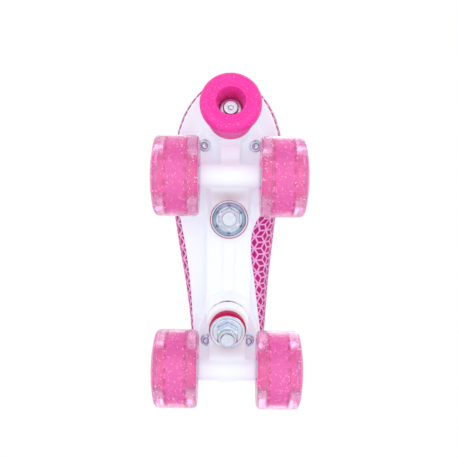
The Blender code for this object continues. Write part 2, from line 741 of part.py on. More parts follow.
def stops(values, low, high):
    """The two ends and every value between them."""
    return [low] + [value for value in values if low < value < high] + [high]


def sides(inner, outer):
    """Places round the boot on the arch side, from inner to outer."""
    return stops(SHARES, inner, outer)


def both_sides(edge):
    half = sides(0, edge)
    return [-v for v in reversed(half)] + half[1:]


def boot_layer(name, us, vs, depth, thick, material=None):
    """A sheet of the boot, depth inside its outer surface, thick inwards from there."""
    mesh = bpy.data.meshes.new(name)
    shape = bmesh.new()
    rows = [[shape.verts.new(boot_point(u, v)) for v in vs] for u in us]
    for low, high in zip(rows, rows[1:]):
        for i in range(len(vs) - 1):
            shape.faces.new((low[i], low[i + 1], high[i + 1], high[i]))
    bmesh.ops.remove_doubles(shape, verts=shape.verts, dist=0.00002)
    bmesh.ops.recalc_face_normals(shape, faces=shape.faces)
    shape.normal_update()
    top = max(shape.faces, key=lambda face: face.calc_center_median().z)
    ankle = Vector((0, 60 * MM, 150 * MM))
    if top.normal.dot(top.calc_center_median() - ankle) < 0:
        bmesh.ops.reverse_faces(shape, faces=shape.faces)
        shape.normal_update()
    moved = [vert.co - vert.normal * depth for vert in shape.verts]
    for vert, place in zip(shape.verts, moved):
        vert.co = place
    shape.to_mesh(mesh)
    shape.free()
    obj = put(name, mesh, Matrix(), material)
    solid = obj.modifiers.new("Thickness", "SOLIDIFY")
    solid.thickness = thick
    solid.offset = -1
    smooth(obj)
    return obj


def make_boot():
    """The boot's layers from the outside in, all cut from one surface."""
    upper = boot_layer("upper", stops(ROWS, 0, COLLAR), both_sides(1), 0, UPPER_THICK, FABRIC)
    below = UPPER_THICK + LAYER_GAP
    lined = stops(ROWS, 1.2, COLLAR)
    lining = boot_layer("lining", lined, both_sides(1), below, LINING_THICK, LINING_PINK)
    throat = stops(ROWS, VAMP, COLLAR + 0.9)
    slot = boot_layer("throat_cutter", throat, both_sides(THROAT_EDGE), -4 * MM, 14 * MM)
    boolean(upper, [slot], "DIFFERENCE")
    boolean(lining, [slot], "DIFFERENCE")
    inside = UPPER_THICK + LINING_THICK + 2 * LAYER_GAP
    tongue = stops(ROWS, VAMP - 0.8, COLLAR + 1)
    boot_layer("tongue", tongue, both_sides(TONGUE_EDGE), inside, TONGUE_THICK, LINING_PINK)
    above = -(EYESTAY_THICK + LAYER_GAP)
    laced = stops(ROWS, VAMP + 0.2, COLLAR - 0.1)
    edge = sides(THROAT_EDGE + 0.01, EYESTAY_EDGE)
    for side, places in (("outer", [-v for v in reversed(edge)]), ("arch", edge)):
        boot_layer(f"{side}_eyestay", laced, places, above, EYESTAY_THICK, TRIM_WHITE)
    behind = sides(BACKSTAY_EDGE, 1)
    round_the_back = [-v for v in behind] + behind[-2::-1]
    boot_layer("backstay", stops(ROWS, HEEL, COLLAR), round_the_back, above, EYESTAY_THICK, TRIM_WHITE)
    return upper


def make_insole():
    slab("insole", sole_outline(40, 7 * MM), BOOT_BASE, BOOT_BASE + 3.4 * MM, material=BOARD)


def make_lace():
    """One lace that runs to and fro between the eyestays, a row at a time."""
    rows = spread(VAMP + 1.2, COLLAR - 1.2, LACE_ROWS - 1)
    lift = LAYER_GAP + EYESTAY_THICK + GAP + LACE_RADIUS
    turns = []
    for i, u in enumerate(rows):
        ways = (-LACE_REACH, LACE_REACH) if i % 2 == 0 else (LACE_REACH, -LACE_REACH)
        turns += [(u, ways[0]), (u, ways[1])]
    points = []
    for (u0, v0), (u1, v1) in zip(turns, turns[1:]):
        for f in spread(0, 1, 5)[:-1]:
            points.append(lifted(u0 + (u1 - u0) * f, v0 + (v1 - v0) * f, lift))
    points.append(lifted(*turns[-1], lift))
    tube("lace", points, LACE_RADIUS, LACE_WHITE)


def lifted(u, v, height):
    """A point at a height outside the boot's surface."""
    step = 0.01
    along = boot_point(u + step, v) - boot_point(u - step, v)
    over = boot_point(u, v + step) - boot_point(u, v - step)
    normal = over.cross(along).normalized()
    ankle = Vector((0, 60 * MM, 100 * MM))
    if normal.dot(boot_point(u, v) - ankle) < 0:
        normal.negate()
    return boot_point(u, v) + normal * height


def make_skate():
    for end in ("front", "rear"):
        make_truck(end)
        for side in ("left", "right"):
            make_plate_bolt(end, side)
    make_plate()
    make_toe_stop()
    make_outsole()
    make_insole()
    make_boot()
    make_lace()


make_skate()
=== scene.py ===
"""The looks of the quad roller skate: studio, camera, materials, mouldings, metalwork, wheels and boot.

Metres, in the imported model's frame: the wheels stand on z = 0, the toe points along -Y and the arch is
on +X. The camera looks up at the underside, as in the photograph. A truck is described by `out`, the
distance from its axle towards its own end of the skate. Sizes that the CAD also holds are repeated here
by the same names.
"""

import math
import random

import bmesh
import bpy
from mathutils import Matrix, Vector


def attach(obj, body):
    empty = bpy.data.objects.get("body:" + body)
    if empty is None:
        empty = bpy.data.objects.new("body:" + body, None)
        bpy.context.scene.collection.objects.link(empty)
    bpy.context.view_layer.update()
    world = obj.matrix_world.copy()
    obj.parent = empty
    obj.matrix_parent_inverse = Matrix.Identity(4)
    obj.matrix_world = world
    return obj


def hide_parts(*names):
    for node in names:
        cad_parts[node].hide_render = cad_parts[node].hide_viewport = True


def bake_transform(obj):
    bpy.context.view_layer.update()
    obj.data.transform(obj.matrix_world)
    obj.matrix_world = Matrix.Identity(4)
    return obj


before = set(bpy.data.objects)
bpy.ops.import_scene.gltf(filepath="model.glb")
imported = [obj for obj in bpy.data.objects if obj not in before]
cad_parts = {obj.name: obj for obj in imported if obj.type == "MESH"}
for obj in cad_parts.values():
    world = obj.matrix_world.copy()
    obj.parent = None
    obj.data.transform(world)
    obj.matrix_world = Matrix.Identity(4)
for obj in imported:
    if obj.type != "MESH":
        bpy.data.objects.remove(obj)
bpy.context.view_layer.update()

MM = 0.001
GAP = 0.3 * MM
ROOT = "boot_and_chassis"
ENDS = ("front", "rear")
SIDES = ("left", "right")

# Wheels and axles
WHEEL_RADIUS = 27 * MM
WHEEL_CENTRE_X = 36.2 * MM
AXLE_Y = {"front": -47.2 * MM, "rear": 87.8 * MM}
AXLE_RADIUS = 3.7 * MM
AXLE_HALF_LENGTH = 51.6 * MM
BEARING_RADIUS = 10.9 * MM
INNER_BEARING_X = -10.7 * MM
OUTER_BEARING_X = 5.5 * MM
AXLE_NUT_INNER_X = 45.6 * MM

# Trucks
HANGER_HALF_WIDTH = 20.5 * MM
HANGER_TUBE_RADIUS = 8.1 * MM
KINGPIN_OUT = -28.2 * MM
KINGPIN_Z = 21 * MM
KINGPIN_LEAN = math.radians(10)
KINGPIN_RADIUS = 4.75 * MM
RING_LOW, RING_HIGH = 11.8 * MM, 19.8 * MM
SEAT_HEIGHT = 31.7 * MM
PIVOT_OUT, PIVOT_Z = 11.5 * MM, 54 * MM
PIVOT_RADIUS = 3.2 * MM
STEER_SLOPE = math.atan2(16, 42.7)

# Chassis and toe stop
PLATE_LOW, PLATE_HIGH = 58.5 * MM, 63.4 * MM
PLATE_BOLTS = {"front": (17.8 * MM, -65.6 * MM), "rear": (15.5 * MM, 76.8 * MM)}
STOP_BASE = Vector((0, -85.5 * MM, 51 * MM))
STOP_LEAN = math.radians(21)
STOP_HEIGHT = 33 * MM

# Boot
SOLE_LOW, WAIST_LOW = 63.7 * MM, 66.2 * MM
TOE_TIP, TOE_CENTRE, TOE_POWER = -111.5 * MM, -56.5 * MM, 1.9
HEEL_TIP, HEEL_CENTRE, HEEL_POWER = 109.5 * MM, 78.5 * MM, 2.3
# Half widths of the sole between the round ends, as (y, outer side, arch side) in millimetres
SOLE_SIDES = [
    (-56.5, 38.5, 36.0),
    (-41.5, 39.3, 34.6),
    (-26.5, 38.3, 29.5),
    (-14.5, 36.1, 22.3),
    (-6.5, 34.6, 18.5),
    (2.5, 32.8, 16.4),
    (14.5, 30.9, 16.4),
    (30.5, 28.8, 18.8),
    (48.5, 27.1, 21.2),
    (78.5, 25.0, 25.0),
]
# Girths of the boot from toe to collar: the point on the sole or the back (y, z), the point on the instep
# (y, z), the half widths (outer side, arch side) and how far up the girth its widest place is. Millimetres.
BOOT_RINGS = [
    (-112.3, 70.3, -112.3, 70.3, 0.0, 0.0, 0.40),
    (-108.5, 70.3, -108.8, 86.0, 11.6, 10.9, 0.45),
    (-99.0, 70.3, -99.5, 98.0, 23.5, 22.2, 0.42),
    (-84.0, 70.3, -84.5, 105.0, 33.3, 31.5, 0.38),
    (-62.0, 70.3, -63.5, 111.5, 39.3, 37.2, 0.34),
    (-38.0, 70.3, -42.0, 121.0, 41.0, 36.6, 0.30),
    (-14.0, 70.3, -25.0, 133.0, 39.8, 34.0, 0.27),
    (14.0, 70.3, -14.0, 145.0, 36.4, 31.9, 0.27),
    (42.0, 70.3, -5.0, 155.0, 32.3, 30.2, 0.32),
    (68.0, 70.3, 1.5, 163.0, 28.9, 28.9, 0.38),
    (90.0, 70.3, 6.0, 170.0, 27.4, 27.8, 0.44),
    (104.0, 71.5, 9.0, 176.0, 27.8, 28.0, 0.47),
    (111.0, 82.0, 11.2, 181.5, 28.8, 28.8, 0.50),
    (111.8, 100.0, 13.0, 187.0, 29.8, 29.8, 0.51),
    (108.8, 125.0, 14.4, 193.0, 30.8, 30.8, 0.52),
    (106.6, 150.0, 15.4, 199.0, 31.6, 31.4, 0.52),
    (107.2, 175.0, 16.0, 204.5, 32.4, 32.2, 0.52),
    (109.0, 198.0, 16.3, 209.0, 32.8, 32.6, 0.52),
    (110.6, 213.0, 16.4, 213.0, 33.0, 33.0, 0.52),
    (111.4, 226.0, 15.0, 229.0, 33.2, 33.2, 0.52),
]
VAMP, HEEL, COLLAR = 5, 12, 18
UPPER_THICK = 1.5 * MM
EYESTAY_THICK = 1.2 * MM
LAYER_GAP = 0.8 * MM
THROAT_EDGE, LACE_REACH, EYESTAY_EDGE, BACKSTAY_EDGE = 0.14, 0.22, 0.30, 0.84
LACE_ROWS = 6
LATTICE_EDGE = 9.0 * MM
PRINT_SHIFT = (0.35, 0.55)  # where the print starts, in shares of an edge and of a row

# Studio
CAMERA_TARGET = Vector((0, -11.5 * MM, 27 * MM))
CAMERA_DISTANCE = 0.5
CAMERA_PITCH = math.radians(10)
CAMERA_ROLL = math.radians(0.85)
CAMERA_LENS = 58.17
AMBIENT = 0.92  # the white world's strength for everything but mirror reflections
FLOOR_HALF, FLOOR_Z = 3.0, -0.2 * MM
# Stops of the grey ring that metal reflects, as (height share, brightness)
REFLECTED_RING = ((0.0, 1.0), (0.14, 0.95), (0.30, 0.22), (0.46, 0.10), (0.56, 0.55), (0.75, 1.0), (1.0, 1.0))


# ------------------------------------------------------------------------------
# Materials


class Paint:
    """A material whose nodes are added one call at a time."""

    def __init__(self, name):
        self.material = bpy.data.materials.new(name)
        self.material.use_nodes = True
        self.tree = self.material.node_tree
        self.shader = self.tree.nodes["Principled BSDF"]

    def node(self, kind, inputs=None, **settings):
        made = self.tree.nodes.new(kind)
        for key, value in settings.items():
            setattr(made, key, value)
        for key, value in (inputs or {}).items():
            self.feed(made.inputs[key], value)
        return made

    def feed(self, socket, value):
        if isinstance(value, bpy.types.NodeSocket):
            self.tree.links.new(value, socket)
        elif isinstance(value, tuple) and len(value) == 3 and socket.type == "RGBA":
            socket.default_value = (*value, 1)
        else:
            socket.default_value = value

    def set(self, **values):
        """Values for the Principled shader's sockets, with _ for a space."""
        for key, value in values.items():
            self.feed(self.shader.inputs[key.replace("_", " ")], value)
        return self

    def math(self, operation, a, b=0.0, clamp=False):
        return self.node("ShaderNodeMath", {0: a, 1: b}, operation=operation, use_clamp=clamp).outputs[0]

    def coordinates(self, which="Object"):
        return self.node("ShaderNodeTexCoord").outputs[which]

    def noise(self, scale, detail=3.0, where="Object", stretch=None):
        place = self.coordinates(where)
        if stretch:
            place = self.node("ShaderNodeMapping", {"Vector": place, "Scale": stretch}).outputs[0]
        return self.node(
            "ShaderNodeTexNoise", {"Vector": place, "Scale": scale, "Detail": detail}
        ).outputs["Fac"]

    def cells(self, scale, output="Distance", where="Object", feature="F1"):
        return self.node(
            "ShaderNodeTexVoronoi", {"Vector": self.coordinates(where), "Scale": scale}, feature=feature
        ).outputs[output]

    def ramp(self, factor, low, high):
        """0 below low, 1 above high, smooth between."""
        return self.node(
            "ShaderNodeMapRange",
            {"Value": factor, "From Min": low, "From Max": high},
            interpolation_type="SMOOTHSTEP",
        ).outputs[0]

    def between(self, factor, low, high):
        return self.node("ShaderNodeMapRange", {"Value": factor, "To Min": low, "To Max": high}).outputs[0]

    def blend(self, factor, first, second):
        mixed = self.node("ShaderNodeMix", data_type="RGBA")
        for index, value in ((0, factor), (6, first), (7, second)):
            self.feed(mixed.inputs[index], value)
        return mixed.outputs[2]

    def bump(self, height, depth, strength=1.0, after=None):
        inputs = {"Height": height, "Distance": depth, "Strength": strength}
        if after:
            inputs["Normal"] = after
        return self.node("ShaderNodeBump", inputs).outputs[0]


def moulded_plastic(name, light, shade, rough=(0.34, 0.48), softness=0.0, glow=0.0):
    """Injection-moulded plastic: flow mottle, spark-eroded texture and rubbed places.

    The glow is painted light: an emission that stands in for the light the white studio sends back between
    the white mouldings.
    """
    paint = Paint(name)
    flow = paint.noise(38, 4)
    grain = paint.noise(2600, 2)
    rubbed = paint.ramp(paint.noise(140, 5), 0.56, 0.74)
    paint.set(
        Base_Color=paint.blend(flow, light, shade),
        Roughness=paint.between(paint.math("ADD", paint.math("MULTIPLY", flow, 0.6), rubbed), *rough),
        Normal=paint.bump(paint.math("ADD", grain, paint.math("MULTIPLY", flow, 2.0)), 0.00002, 0.5),
        Specular_IOR_Level=0.45,
        # painted light: a pale blue glow in place of the studio's bounce light
        Emission_Color=(0.74, 0.88, 1.0, 1),
        Emission_Strength=glow,
        Subsurface_Weight=softness,
        Subsurface_Radius=(0.004, 0.003, 0.004),
        Subsurface_Scale=0.4,
    )
    return paint.material


def plated_steel(name, colour, dull, rough=(0.16, 0.34), scratches=0.00001):
    """Zinc-plated or ground steel: cloudy plating, fine scratches and duller patches."""
    paint = Paint(name)
    cloud = paint.noise(260, 4)
    scratch = paint.noise(900, 6, stretch=(1, 1, 9))
    paint.set(
        Base_Color=paint.blend(paint.ramp(cloud, 0.35, 0.7), colour, dull),
        Metallic=1.0,
        Roughness=paint.between(cloud, rough[0], rough[1]),
        Normal=paint.bump(scratch, scratches, 0.6),
    )
    return paint.material


def tyre_urethane():
    """Clear pink urethane, glossy, with matt scuffs of use scattered at random."""
    paint = Paint("tyre_clear_pink_urethane")
    cloud = paint.noise(70, 4)
    scuffs = paint.ramp(paint.noise(420, 6), 0.5, 0.78)
    paint.set(
        Base_Color=paint.blend(cloud, (0.97, 0.44, 0.71), (0.98, 0.52, 0.77)),
        Roughness=paint.between(scuffs, 0.2, 0.32),
        Transmission_Weight=0.82,
        IOR=1.42,
        Specular_IOR_Level=0.4,
        Normal=paint.bump(paint.noise(600, 3), 0.00001, 0.4),
    )
    return paint.material


def core_plastic():
    """The hot pink core inside the tyre, with pearl specks and a faint pink glow of painted light."""
    paint = Paint("wheel_core_hot_pink")
    flow = paint.noise(90, 3)
    speck = paint.ramp(paint.cells(900), 0.16, 0.06)
    base = paint.blend(flow, (1.0, 0.11, 0.66), (0.97, 0.09, 0.58))
    paint.set(
        # painted light: the core glows a little, though it is no lamp
        Emission_Color=(1.0, 0.11, 0.56, 1),
        Emission_Strength=0.2,
        Base_Color=paint.blend(paint.math("MULTIPLY", speck, 0.35), base, (1.0, 0.75, 0.88)),
        Roughness=paint.between(flow, 0.3, 0.45),
        Normal=paint.bump(paint.noise(1800, 2), 0.00002, 0.4),
    )
    return paint.material


def flake_foil():
    """Glitter foil, each flake a little different, and glowing: painted glints."""
    paint = Paint("glitter_foil")
    tone = paint.noise(500, 1)
    paint.set(
        Base_Color=paint.blend(paint.ramp(tone, 0.4, 0.6), (1.0, 0.93, 0.97), (0.93, 0.86, 1.0)),
        Roughness=paint.between(tone, 0.15, 0.4),
        # painted light: the flakes glow as painted glints
        Emission_Color=(1.0, 0.95, 0.99, 1),
        Emission_Strength=0.9,
    )
    return paint.material


def stop_rubber():
    """Hot pink rubber with fine glitter under its skin and a matt, slightly worn surface. The glitter's
    sparkle is painted: pale specks in the colour where a noise says they catch the light.
    """
    paint = Paint("toe_stop_pink_rubber")
    flow = paint.noise(60, 4)
    # painted glints: real glitter specks, made pale in the base colour where the noise calls them lit
    speck = paint.ramp(paint.cells(1000), 0.24, 0.14)
    lit = paint.ramp(paint.noise(700, 0), 0.54, 0.60)
    glint = paint.math("MULTIPLY", speck, lit)
    base = paint.blend(flow, (0.94, 0.026, 0.36), (0.92, 0.036, 0.42))
    paint.set(
        Base_Color=paint.blend(paint.math("MULTIPLY", glint, 0.8), base, (1.0, 0.8, 0.92)),
        Roughness=paint.between(paint.noise(300, 4), 0.34, 0.56),
        Normal=paint.bump(paint.noise(1500, 3), 0.00003, 0.5),
        Subsurface_Weight=0.12,
        Subsurface_Radius=(0.006, 0.002, 0.003),
        Subsurface_Scale=0.5,
    )
    return paint.material


def cushion_urethane():
    paint = Paint("cushion_crimson_urethane")
    flow = paint.noise(120, 4)
    paint.set(
        Base_Color=paint.blend(flow, (0.60, 0.004, 0.085), (0.48, 0.003, 0.065)),
        Roughness=paint.between(flow, 0.4, 0.6),
        Specular_IOR_Level=0.1,
        Normal=paint.bump(paint.noise(1400, 3), 0.00003, 0.4),
        Subsurface_Weight=0.1,
        Subsurface_Radius=(0.004, 0.001, 0.001),
        Subsurface_Scale=0.5,
    )
    return paint.material


def lattice_fabric():
    """Woven fabric printed with dark rhombi, one on each edge of a triangular lattice of light lines."""
    paint = Paint("boot_lattice_print")
    place = paint.node("ShaderNodeSeparateXYZ", {0: paint.node("ShaderNodeUVMap", uv_map="cloth").outputs[0]})
    rows = paint.math("DIVIDE", place.outputs["Y"], LATTICE_EDGE * math.sqrt(3) / 2)
    across = paint.math("ADD", rows, PRINT_SHIFT[1])
    edges = paint.math("DIVIDE", place.outputs["X"], LATTICE_EDGE)
    along = paint.math("ADD", edges, PRINT_SHIFT[0])
    first = paint.math("FRACT", paint.math("SUBTRACT", along, paint.math("MULTIPLY", across, 0.5)))
    second = paint.math("FRACT", across)
    total = paint.math("ADD", first, second)
    upper = paint.math("GREATER_THAN", total, 1.0)
    # In the upper triangle of a cell each share is counted back from the opposite corner
    sign = paint.math("SUBTRACT", 1.0, paint.math("MULTIPLY", upper, 2.0))
    shares = [
        paint.math("ADD", upper, paint.math("MULTIPLY", first, sign)),
        paint.math("ADD", upper, paint.math("MULTIPLY", second, sign)),
        paint.math("ABSOLUTE", paint.math("SUBTRACT", 1.0, total)),
    ]
    least = paint.math("MINIMUM", paint.math("MINIMUM", shares[0], shares[1]), shares[2])
    most = paint.math("MAXIMUM", paint.math("MAXIMUM", shares[0], shares[1]), shares[2])
    between = paint.math("SUBTRACT", paint.math("SUBTRACT", 1.0, paint.math("MULTIPLY", least, 2.0)), most)
    uneven = paint.between(paint.noise(260, 3, "UV"), -0.025, 0.025)
    dark = paint.ramp(paint.math("ADD", between, uneven), 0.11, 0.145)
    warp = paint.math("SINE", paint.math("MULTIPLY", place.outputs["X"], 2 * math.pi / (0.55 * MM)))
    weft = paint.math("SINE", paint.math("MULTIPLY", place.outputs["Y"], 2 * math.pi / (0.55 * MM)))
    weave = paint.math("MULTIPLY", warp, weft)
    thread = paint.between(weave, 0.0, 1.0)
    tone = paint.noise(120, 4, "UV")
    rhombus = paint.blend(tone, (0.56, 0.018, 0.21), (0.45, 0.010, 0.16))
    line = paint.blend(tone, (0.94, 0.46, 0.83), (0.88, 0.39, 0.74))
    colour = paint.blend(dark, line, rhombus)
    shaded = paint.blend(paint.math("MULTIPLY", thread, 0.14), colour, (0.25, 0.02, 0.12))
    relief = paint.math("ADD", paint.math("MULTIPLY", dark, -1.4), paint.math("MULTIPLY", weave, 0.5))
    paint.set(
        Base_Color=shaded,
        Roughness=paint.between(paint.math("ADD", dark, paint.math("MULTIPLY", tone, 0.3)), 0.62, 0.8),
        Normal=paint.bump(relief, 0.00012, 0.5),
        Sheen_Weight=0.15,
        Sheen_Roughness=0.4,
        Specular_IOR_Level=0.3,
    )
    return paint.material


def knitted_lining(name, light, dark, pitch):
    """Air-mesh lining: round holes in rows over a soft foam."""
    paint = Paint(name)
    holes = paint.ramp(paint.cells(1 / pitch), 0.28, 0.5)
    fuzz = paint.noise(2200, 4)
    tone = paint.noise(55, 3)
    paint.set(
        # painted shade: the holes take the dark colour, as shade inside them
        Base_Color=paint.blend(paint.math("MULTIPLY", holes, 0.9), dark, paint.blend(tone, light, dark)),
        Roughness=paint.between(fuzz, 0.8, 0.98),
        Normal=paint.bump(paint.math("ADD", holes, paint.math("MULTIPLY", fuzz, 0.4)), 0.0003, 0.6),
        Sheen_Weight=0.3,
        Sheen_Roughness=0.5,
        Specular_IOR_Level=0.2,
    )
    return paint.material


def grained_leather(name, light, shade):
    """White synthetic leather with a pebbled grain and creases, its tone paler and darker at random."""
    paint = Paint(name)
    pebble = paint.cells(1150, "Distance")
    crease = paint.cells(700, "Distance", feature="DISTANCE_TO_EDGE")
    tone = paint.noise(70, 5)
    paint.set(
        Base_Color=paint.blend(tone, light, shade),
        Roughness=paint.between(paint.noise(320, 4), 0.38, 0.58),
        Normal=paint.bump(paint.math("SUBTRACT", crease, paint.math("MULTIPLY", pebble, 0.6)), 0.00016, 0.5),
        Specular_IOR_Level=0.4,
    )
    return paint.material


def braided(name, light, shade, pitch):
    """Thread, lace or webbing: a herringbone of yarns, laid by its own length and width."""
    paint = Paint(name)
    place = paint.node("ShaderNodeSeparateXYZ", {0: paint.node("ShaderNodeUVMap", uv_map="cloth").outputs[0]})
    turn = 2 * math.pi / pitch
    fold = paint.math("ABSOLUTE", place.outputs["Y"])
    slant = paint.math("SINE", paint.math("MULTIPLY", paint.math("ADD", place.outputs["X"], fold), turn))
    cross = paint.math("SINE", paint.math("MULTIPLY", paint.math("SUBTRACT", place.outputs["X"], fold), turn))
    yarn = paint.between(paint.math("MAXIMUM", slant, cross), 0.0, 1.0)
    fuzz = paint.noise(3000, 3)
    paint.set(
        # painted shade: the grooves between the yarns take the shade colour
        Base_Color=paint.blend(paint.math("MULTIPLY", yarn, 0.7), shade, light),
        Roughness=paint.between(fuzz, 0.75, 0.95),
        Normal=paint.bump(paint.math("ADD", yarn, paint.math("MULTIPLY", fuzz, 0.3)), 0.00018, 0.7),
        Sheen_Weight=0.15,
        Specular_IOR_Level=0.2,
    )
    return paint.material


def insole_board():
    paint = Paint("insole_pressed_foam")
    tone = paint.noise(90, 5)
    pores = paint.ramp(paint.cells(1400), 0.1, 0.45)
    paint.set(
        Base_Color=paint.blend(tone, (0.86, 0.72, 0.82), (0.78, 0.62, 0.74)),
        Roughness=paint.between(tone, 0.8, 0.95),
        Normal=paint.bump(pores, 0.0002, 0.5),
    )
    return paint.material


def make_materials():
    return {
        # The white nylon and the white sole glow a little: painted light for the bounce between white parts.
        "nylon": moulded_plastic(
            "moulded_white_nylon", (0.70, 0.70, 0.74), (0.67, 0.67, 0.71), softness=0.1, glow=0.33
        ),
        "sole": moulded_plastic(
            "moulded_white_sole", (0.73, 0.74, 0.78), (0.70, 0.71, 0.75), (0.45, 0.62), glow=0.25
        ),
        "zinc": plated_steel("zinc_plating", (0.76, 0.81, 0.90), (0.69, 0.75, 0.85), (0.18, 0.3), 0.000004),
        "bearing": plated_steel("bearing_ground_steel", (0.66, 0.66, 0.68), (0.5, 0.5, 0.53), (0.12, 0.28)),
        "shield": plated_steel("bearing_shield_tin", (0.78, 0.78, 0.80), (0.66, 0.66, 0.70), (0.22, 0.36)),
        "insert": moulded_plastic("lock_nut_insert", (0.62, 0.66, 0.75), (0.5, 0.55, 0.66)),
        "urethane": tyre_urethane(),
        "core": core_plastic(),
        "lug": moulded_plastic("wheel_core_lugs", (0.95, 0.06, 0.42), (0.88, 0.05, 0.36)),
        "foil": flake_foil(),
        "stop": stop_rubber(),
        "cushion": cushion_urethane(),
        "lattice": lattice_fabric(),
        # the dark colour of each lining is also the painted shade in its holes
        "lining": knitted_lining("pink_air_mesh", (0.80, 0.30, 0.52), (0.60, 0.16, 0.36), 1.5 * MM),
        "collar": knitted_lining("collar_soft_knit", (0.86, 0.38, 0.60), (0.68, 0.22, 0.44), 0.8 * MM),
        "leather": grained_leather("white_grained_leather", (0.82, 0.80, 0.86), (0.76, 0.73, 0.82)),
        # the second colour of each braid is also the painted shade between its yarns
        "lace": braided("white_braided_lace", (0.86, 0.84, 0.88), (0.62, 0.58, 0.68), 1.1 * MM),
        "white_thread": braided("white_sewing_thread", (0.85, 0.82, 0.88), (0.66, 0.62, 0.72), 0.5 * MM),
        "thread": braided("pink_sewing_thread", (0.85, 0.30, 0.58), (0.55, 0.12, 0.34), 0.5 * MM),
        "binding": braided("magenta_binding", (0.62, 0.03, 0.25), (0.36, 0.01, 0.13), 0.7 * MM),
        "insole": insole_board(),
    }


PAINTS = make_materials()


# ------------------------------------------------------------------------------
# Making shapes


def mesh_of(name, verts, faces, paint, sharp=40):
    """A mesh with its faces turned outwards and its edges sharp above an angle."""
    mesh = bpy.data.meshes.new(name)
    mesh.from_pydata([tuple(vert) for vert in verts], [], faces)
    shape = bmesh.new()
    shape.from_mesh(mesh)
    bmesh.ops.recalc_face_normals(shape, faces=shape.faces)
    shape.to_mesh(mesh)
    shape.free()
    mesh.materials.append(PAINTS[paint])
    shade(mesh, sharp)
    return mesh


def shade(mesh, sharp):
    mesh.shade_smooth()
    mesh.set_sharp_from_angle(angle=math.radians(sharp))


def piece(name, mesh, body, slot_name, *nodes):
    """A shown piece that rides on a body and stands for CAD nodes."""
    obj = bpy.data.objects.new(name, mesh)
    bpy.context.scene.collection.objects.link(obj)
    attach(obj, body)
    if nodes:
        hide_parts(*nodes)
    return obj


def joined(name, meshes):
    """One mesh from several, with their materials kept."""
    shape = bmesh.new()
    materials = []
    for mesh in meshes:
        start = len(shape.faces)
        shape.from_mesh(mesh)
        shape.faces.ensure_lookup_table()
        slots = []
        for material in mesh.materials:
            if material not in materials:
                materials.append(material)
            slots.append(materials.index(material))
        for face in shape.faces[start:]:
            face.material_index = slots[face.material_index] if slots else 0
    made = bpy.data.meshes.new(name)
    shape.to_mesh(made)
    shape.free()
    for material in materials:
        made.materials.append(material)
    for mesh in meshes:
        bpy.data.meshes.remove(mesh)
    return made


def cut_by(cutter):
    """The modifier, for applied(), that takes a cutter's shape away."""
    return "BOOLEAN", {"operation": "DIFFERENCE", "object": cutter, "solver": "EXACT"}


def applied(mesh, *modifiers):
    """The mesh after a list of (modifier type, settings)."""
    obj = bpy.data.objects.new("worked", mesh)
    bpy.context.scene.collection.objects.link(obj)
    for kind, settings in modifiers:
        modifier = obj.modifiers.new(kind, kind)
        for key, value in settings.items():
            setattr(modifier, key, value)
    graph = bpy.context.evaluated_depsgraph_get()
    made = bpy.data.meshes.new_from_object(obj.evaluated_get(graph))
    name = mesh.name
    bpy.data.objects.remove(obj)
    bpy.data.meshes.remove(mesh)
    made.name = name
    return made


def mm(points):
    return [tuple(value * MM for value in point) for point in points]


def rounded(corners, fillet, steps=4, closed=True):
    """The outline with its corners rounded. A corner may bring a fillet of its own as a third number."""
    last = len(corners) - 1
    outline = []
    for i, corner in enumerate(corners):
        here = Vector(corner[:2])
        size = corner[2] if len(corner) > 2 else fillet
        if not size or (not closed and i in (0, last)):
            outline.append(tuple(here))
            continue
        before = Vector(corners[i - 1][:2]) - here
        after = Vector(corners[(i + 1) % len(corners)][:2]) - here
        cut = min(size, before.length * 0.48, after.length * 0.48)
        start, end = here + before.normalized() * cut, here + after.normalized() * cut
        for step in range(steps + 1):
            t = step / steps
            outline.append(tuple((1 - t) ** 2 * start + 2 * t * (1 - t) * here + t * t * end))
    return outline


def turned(name, profile, steps, place, paint, closed=True, grow=None, sharp=40):
    """A profile of (radius, height) points turned about Z; grow(radius, height, angle) adds to the radius."""
    verts, rings, faces = [], [], []
    for radius, height in profile:
        if radius < 1e-7:
            rings.append([len(verts)] * steps)
            verts.append(place @ Vector((0, 0, height)))
            continue
        rings.append(list(range(len(verts), len(verts) + steps)))
        for k in range(steps):
            angle = 2 * math.pi * k / steps
            r = radius + (grow(radius, height, angle) if grow else 0)
            verts.append(place @ Vector((r * math.cos(angle), r * math.sin(angle), height)))
    pairs = list(zip(rings, rings[1:]))
    if closed:
        pairs.append((rings[-1], rings[0]))
    for low, high in pairs:
        for k in range(steps):
            n = (k + 1) % steps
            face = list(dict.fromkeys((low[k], low[n], high[n], high[k])))
            if len(face) > 2:
                faces.append(face)
    return mesh_of(name, verts, faces, paint, sharp)


def prism(name, outline, low, high, place, paint, bevel=0.0):
    """A flat outline of (x, y) points, thick from low to high along its own Z."""
    count = len(outline)
    middle = sum((Vector(point) for point in outline), Vector((0, 0))) / count
    levels = [(low + bevel, 0), (high - bevel, 0)]
    if bevel:
        levels = [(low, bevel), (low + bevel, 0), (high - bevel, 0), (high, bevel)]
    verts = []
    for height, inset in levels:
        for point in outline:
            out = Vector(point) - middle
            flat = Vector(point) - out.normalized() * inset
            verts.append(place @ Vector((flat.x, flat.y, height)))
    faces = [list(range(count)), list(range(count * (len(levels) - 1), count * len(levels)))]
    for level in range(len(levels) - 1):
        base = level * count
        for k in range(count):
            n = (k + 1) % count
            faces.append([base + k, base + n, base + count + n, base + count + k])
    return mesh_of(name, verts, faces, paint)


def circle(radius, steps, centre=(0, 0)):
    turns = [2 * math.pi * k / steps for k in range(steps)]
    return [(centre[0] + radius * math.cos(a), centre[1] + radius * math.sin(a)) for a in turns]


def hexagon_radius(flats, angle):
    return flats / 2 / math.cos((angle + math.pi / 6) % (math.pi / 3) - math.pi / 6)


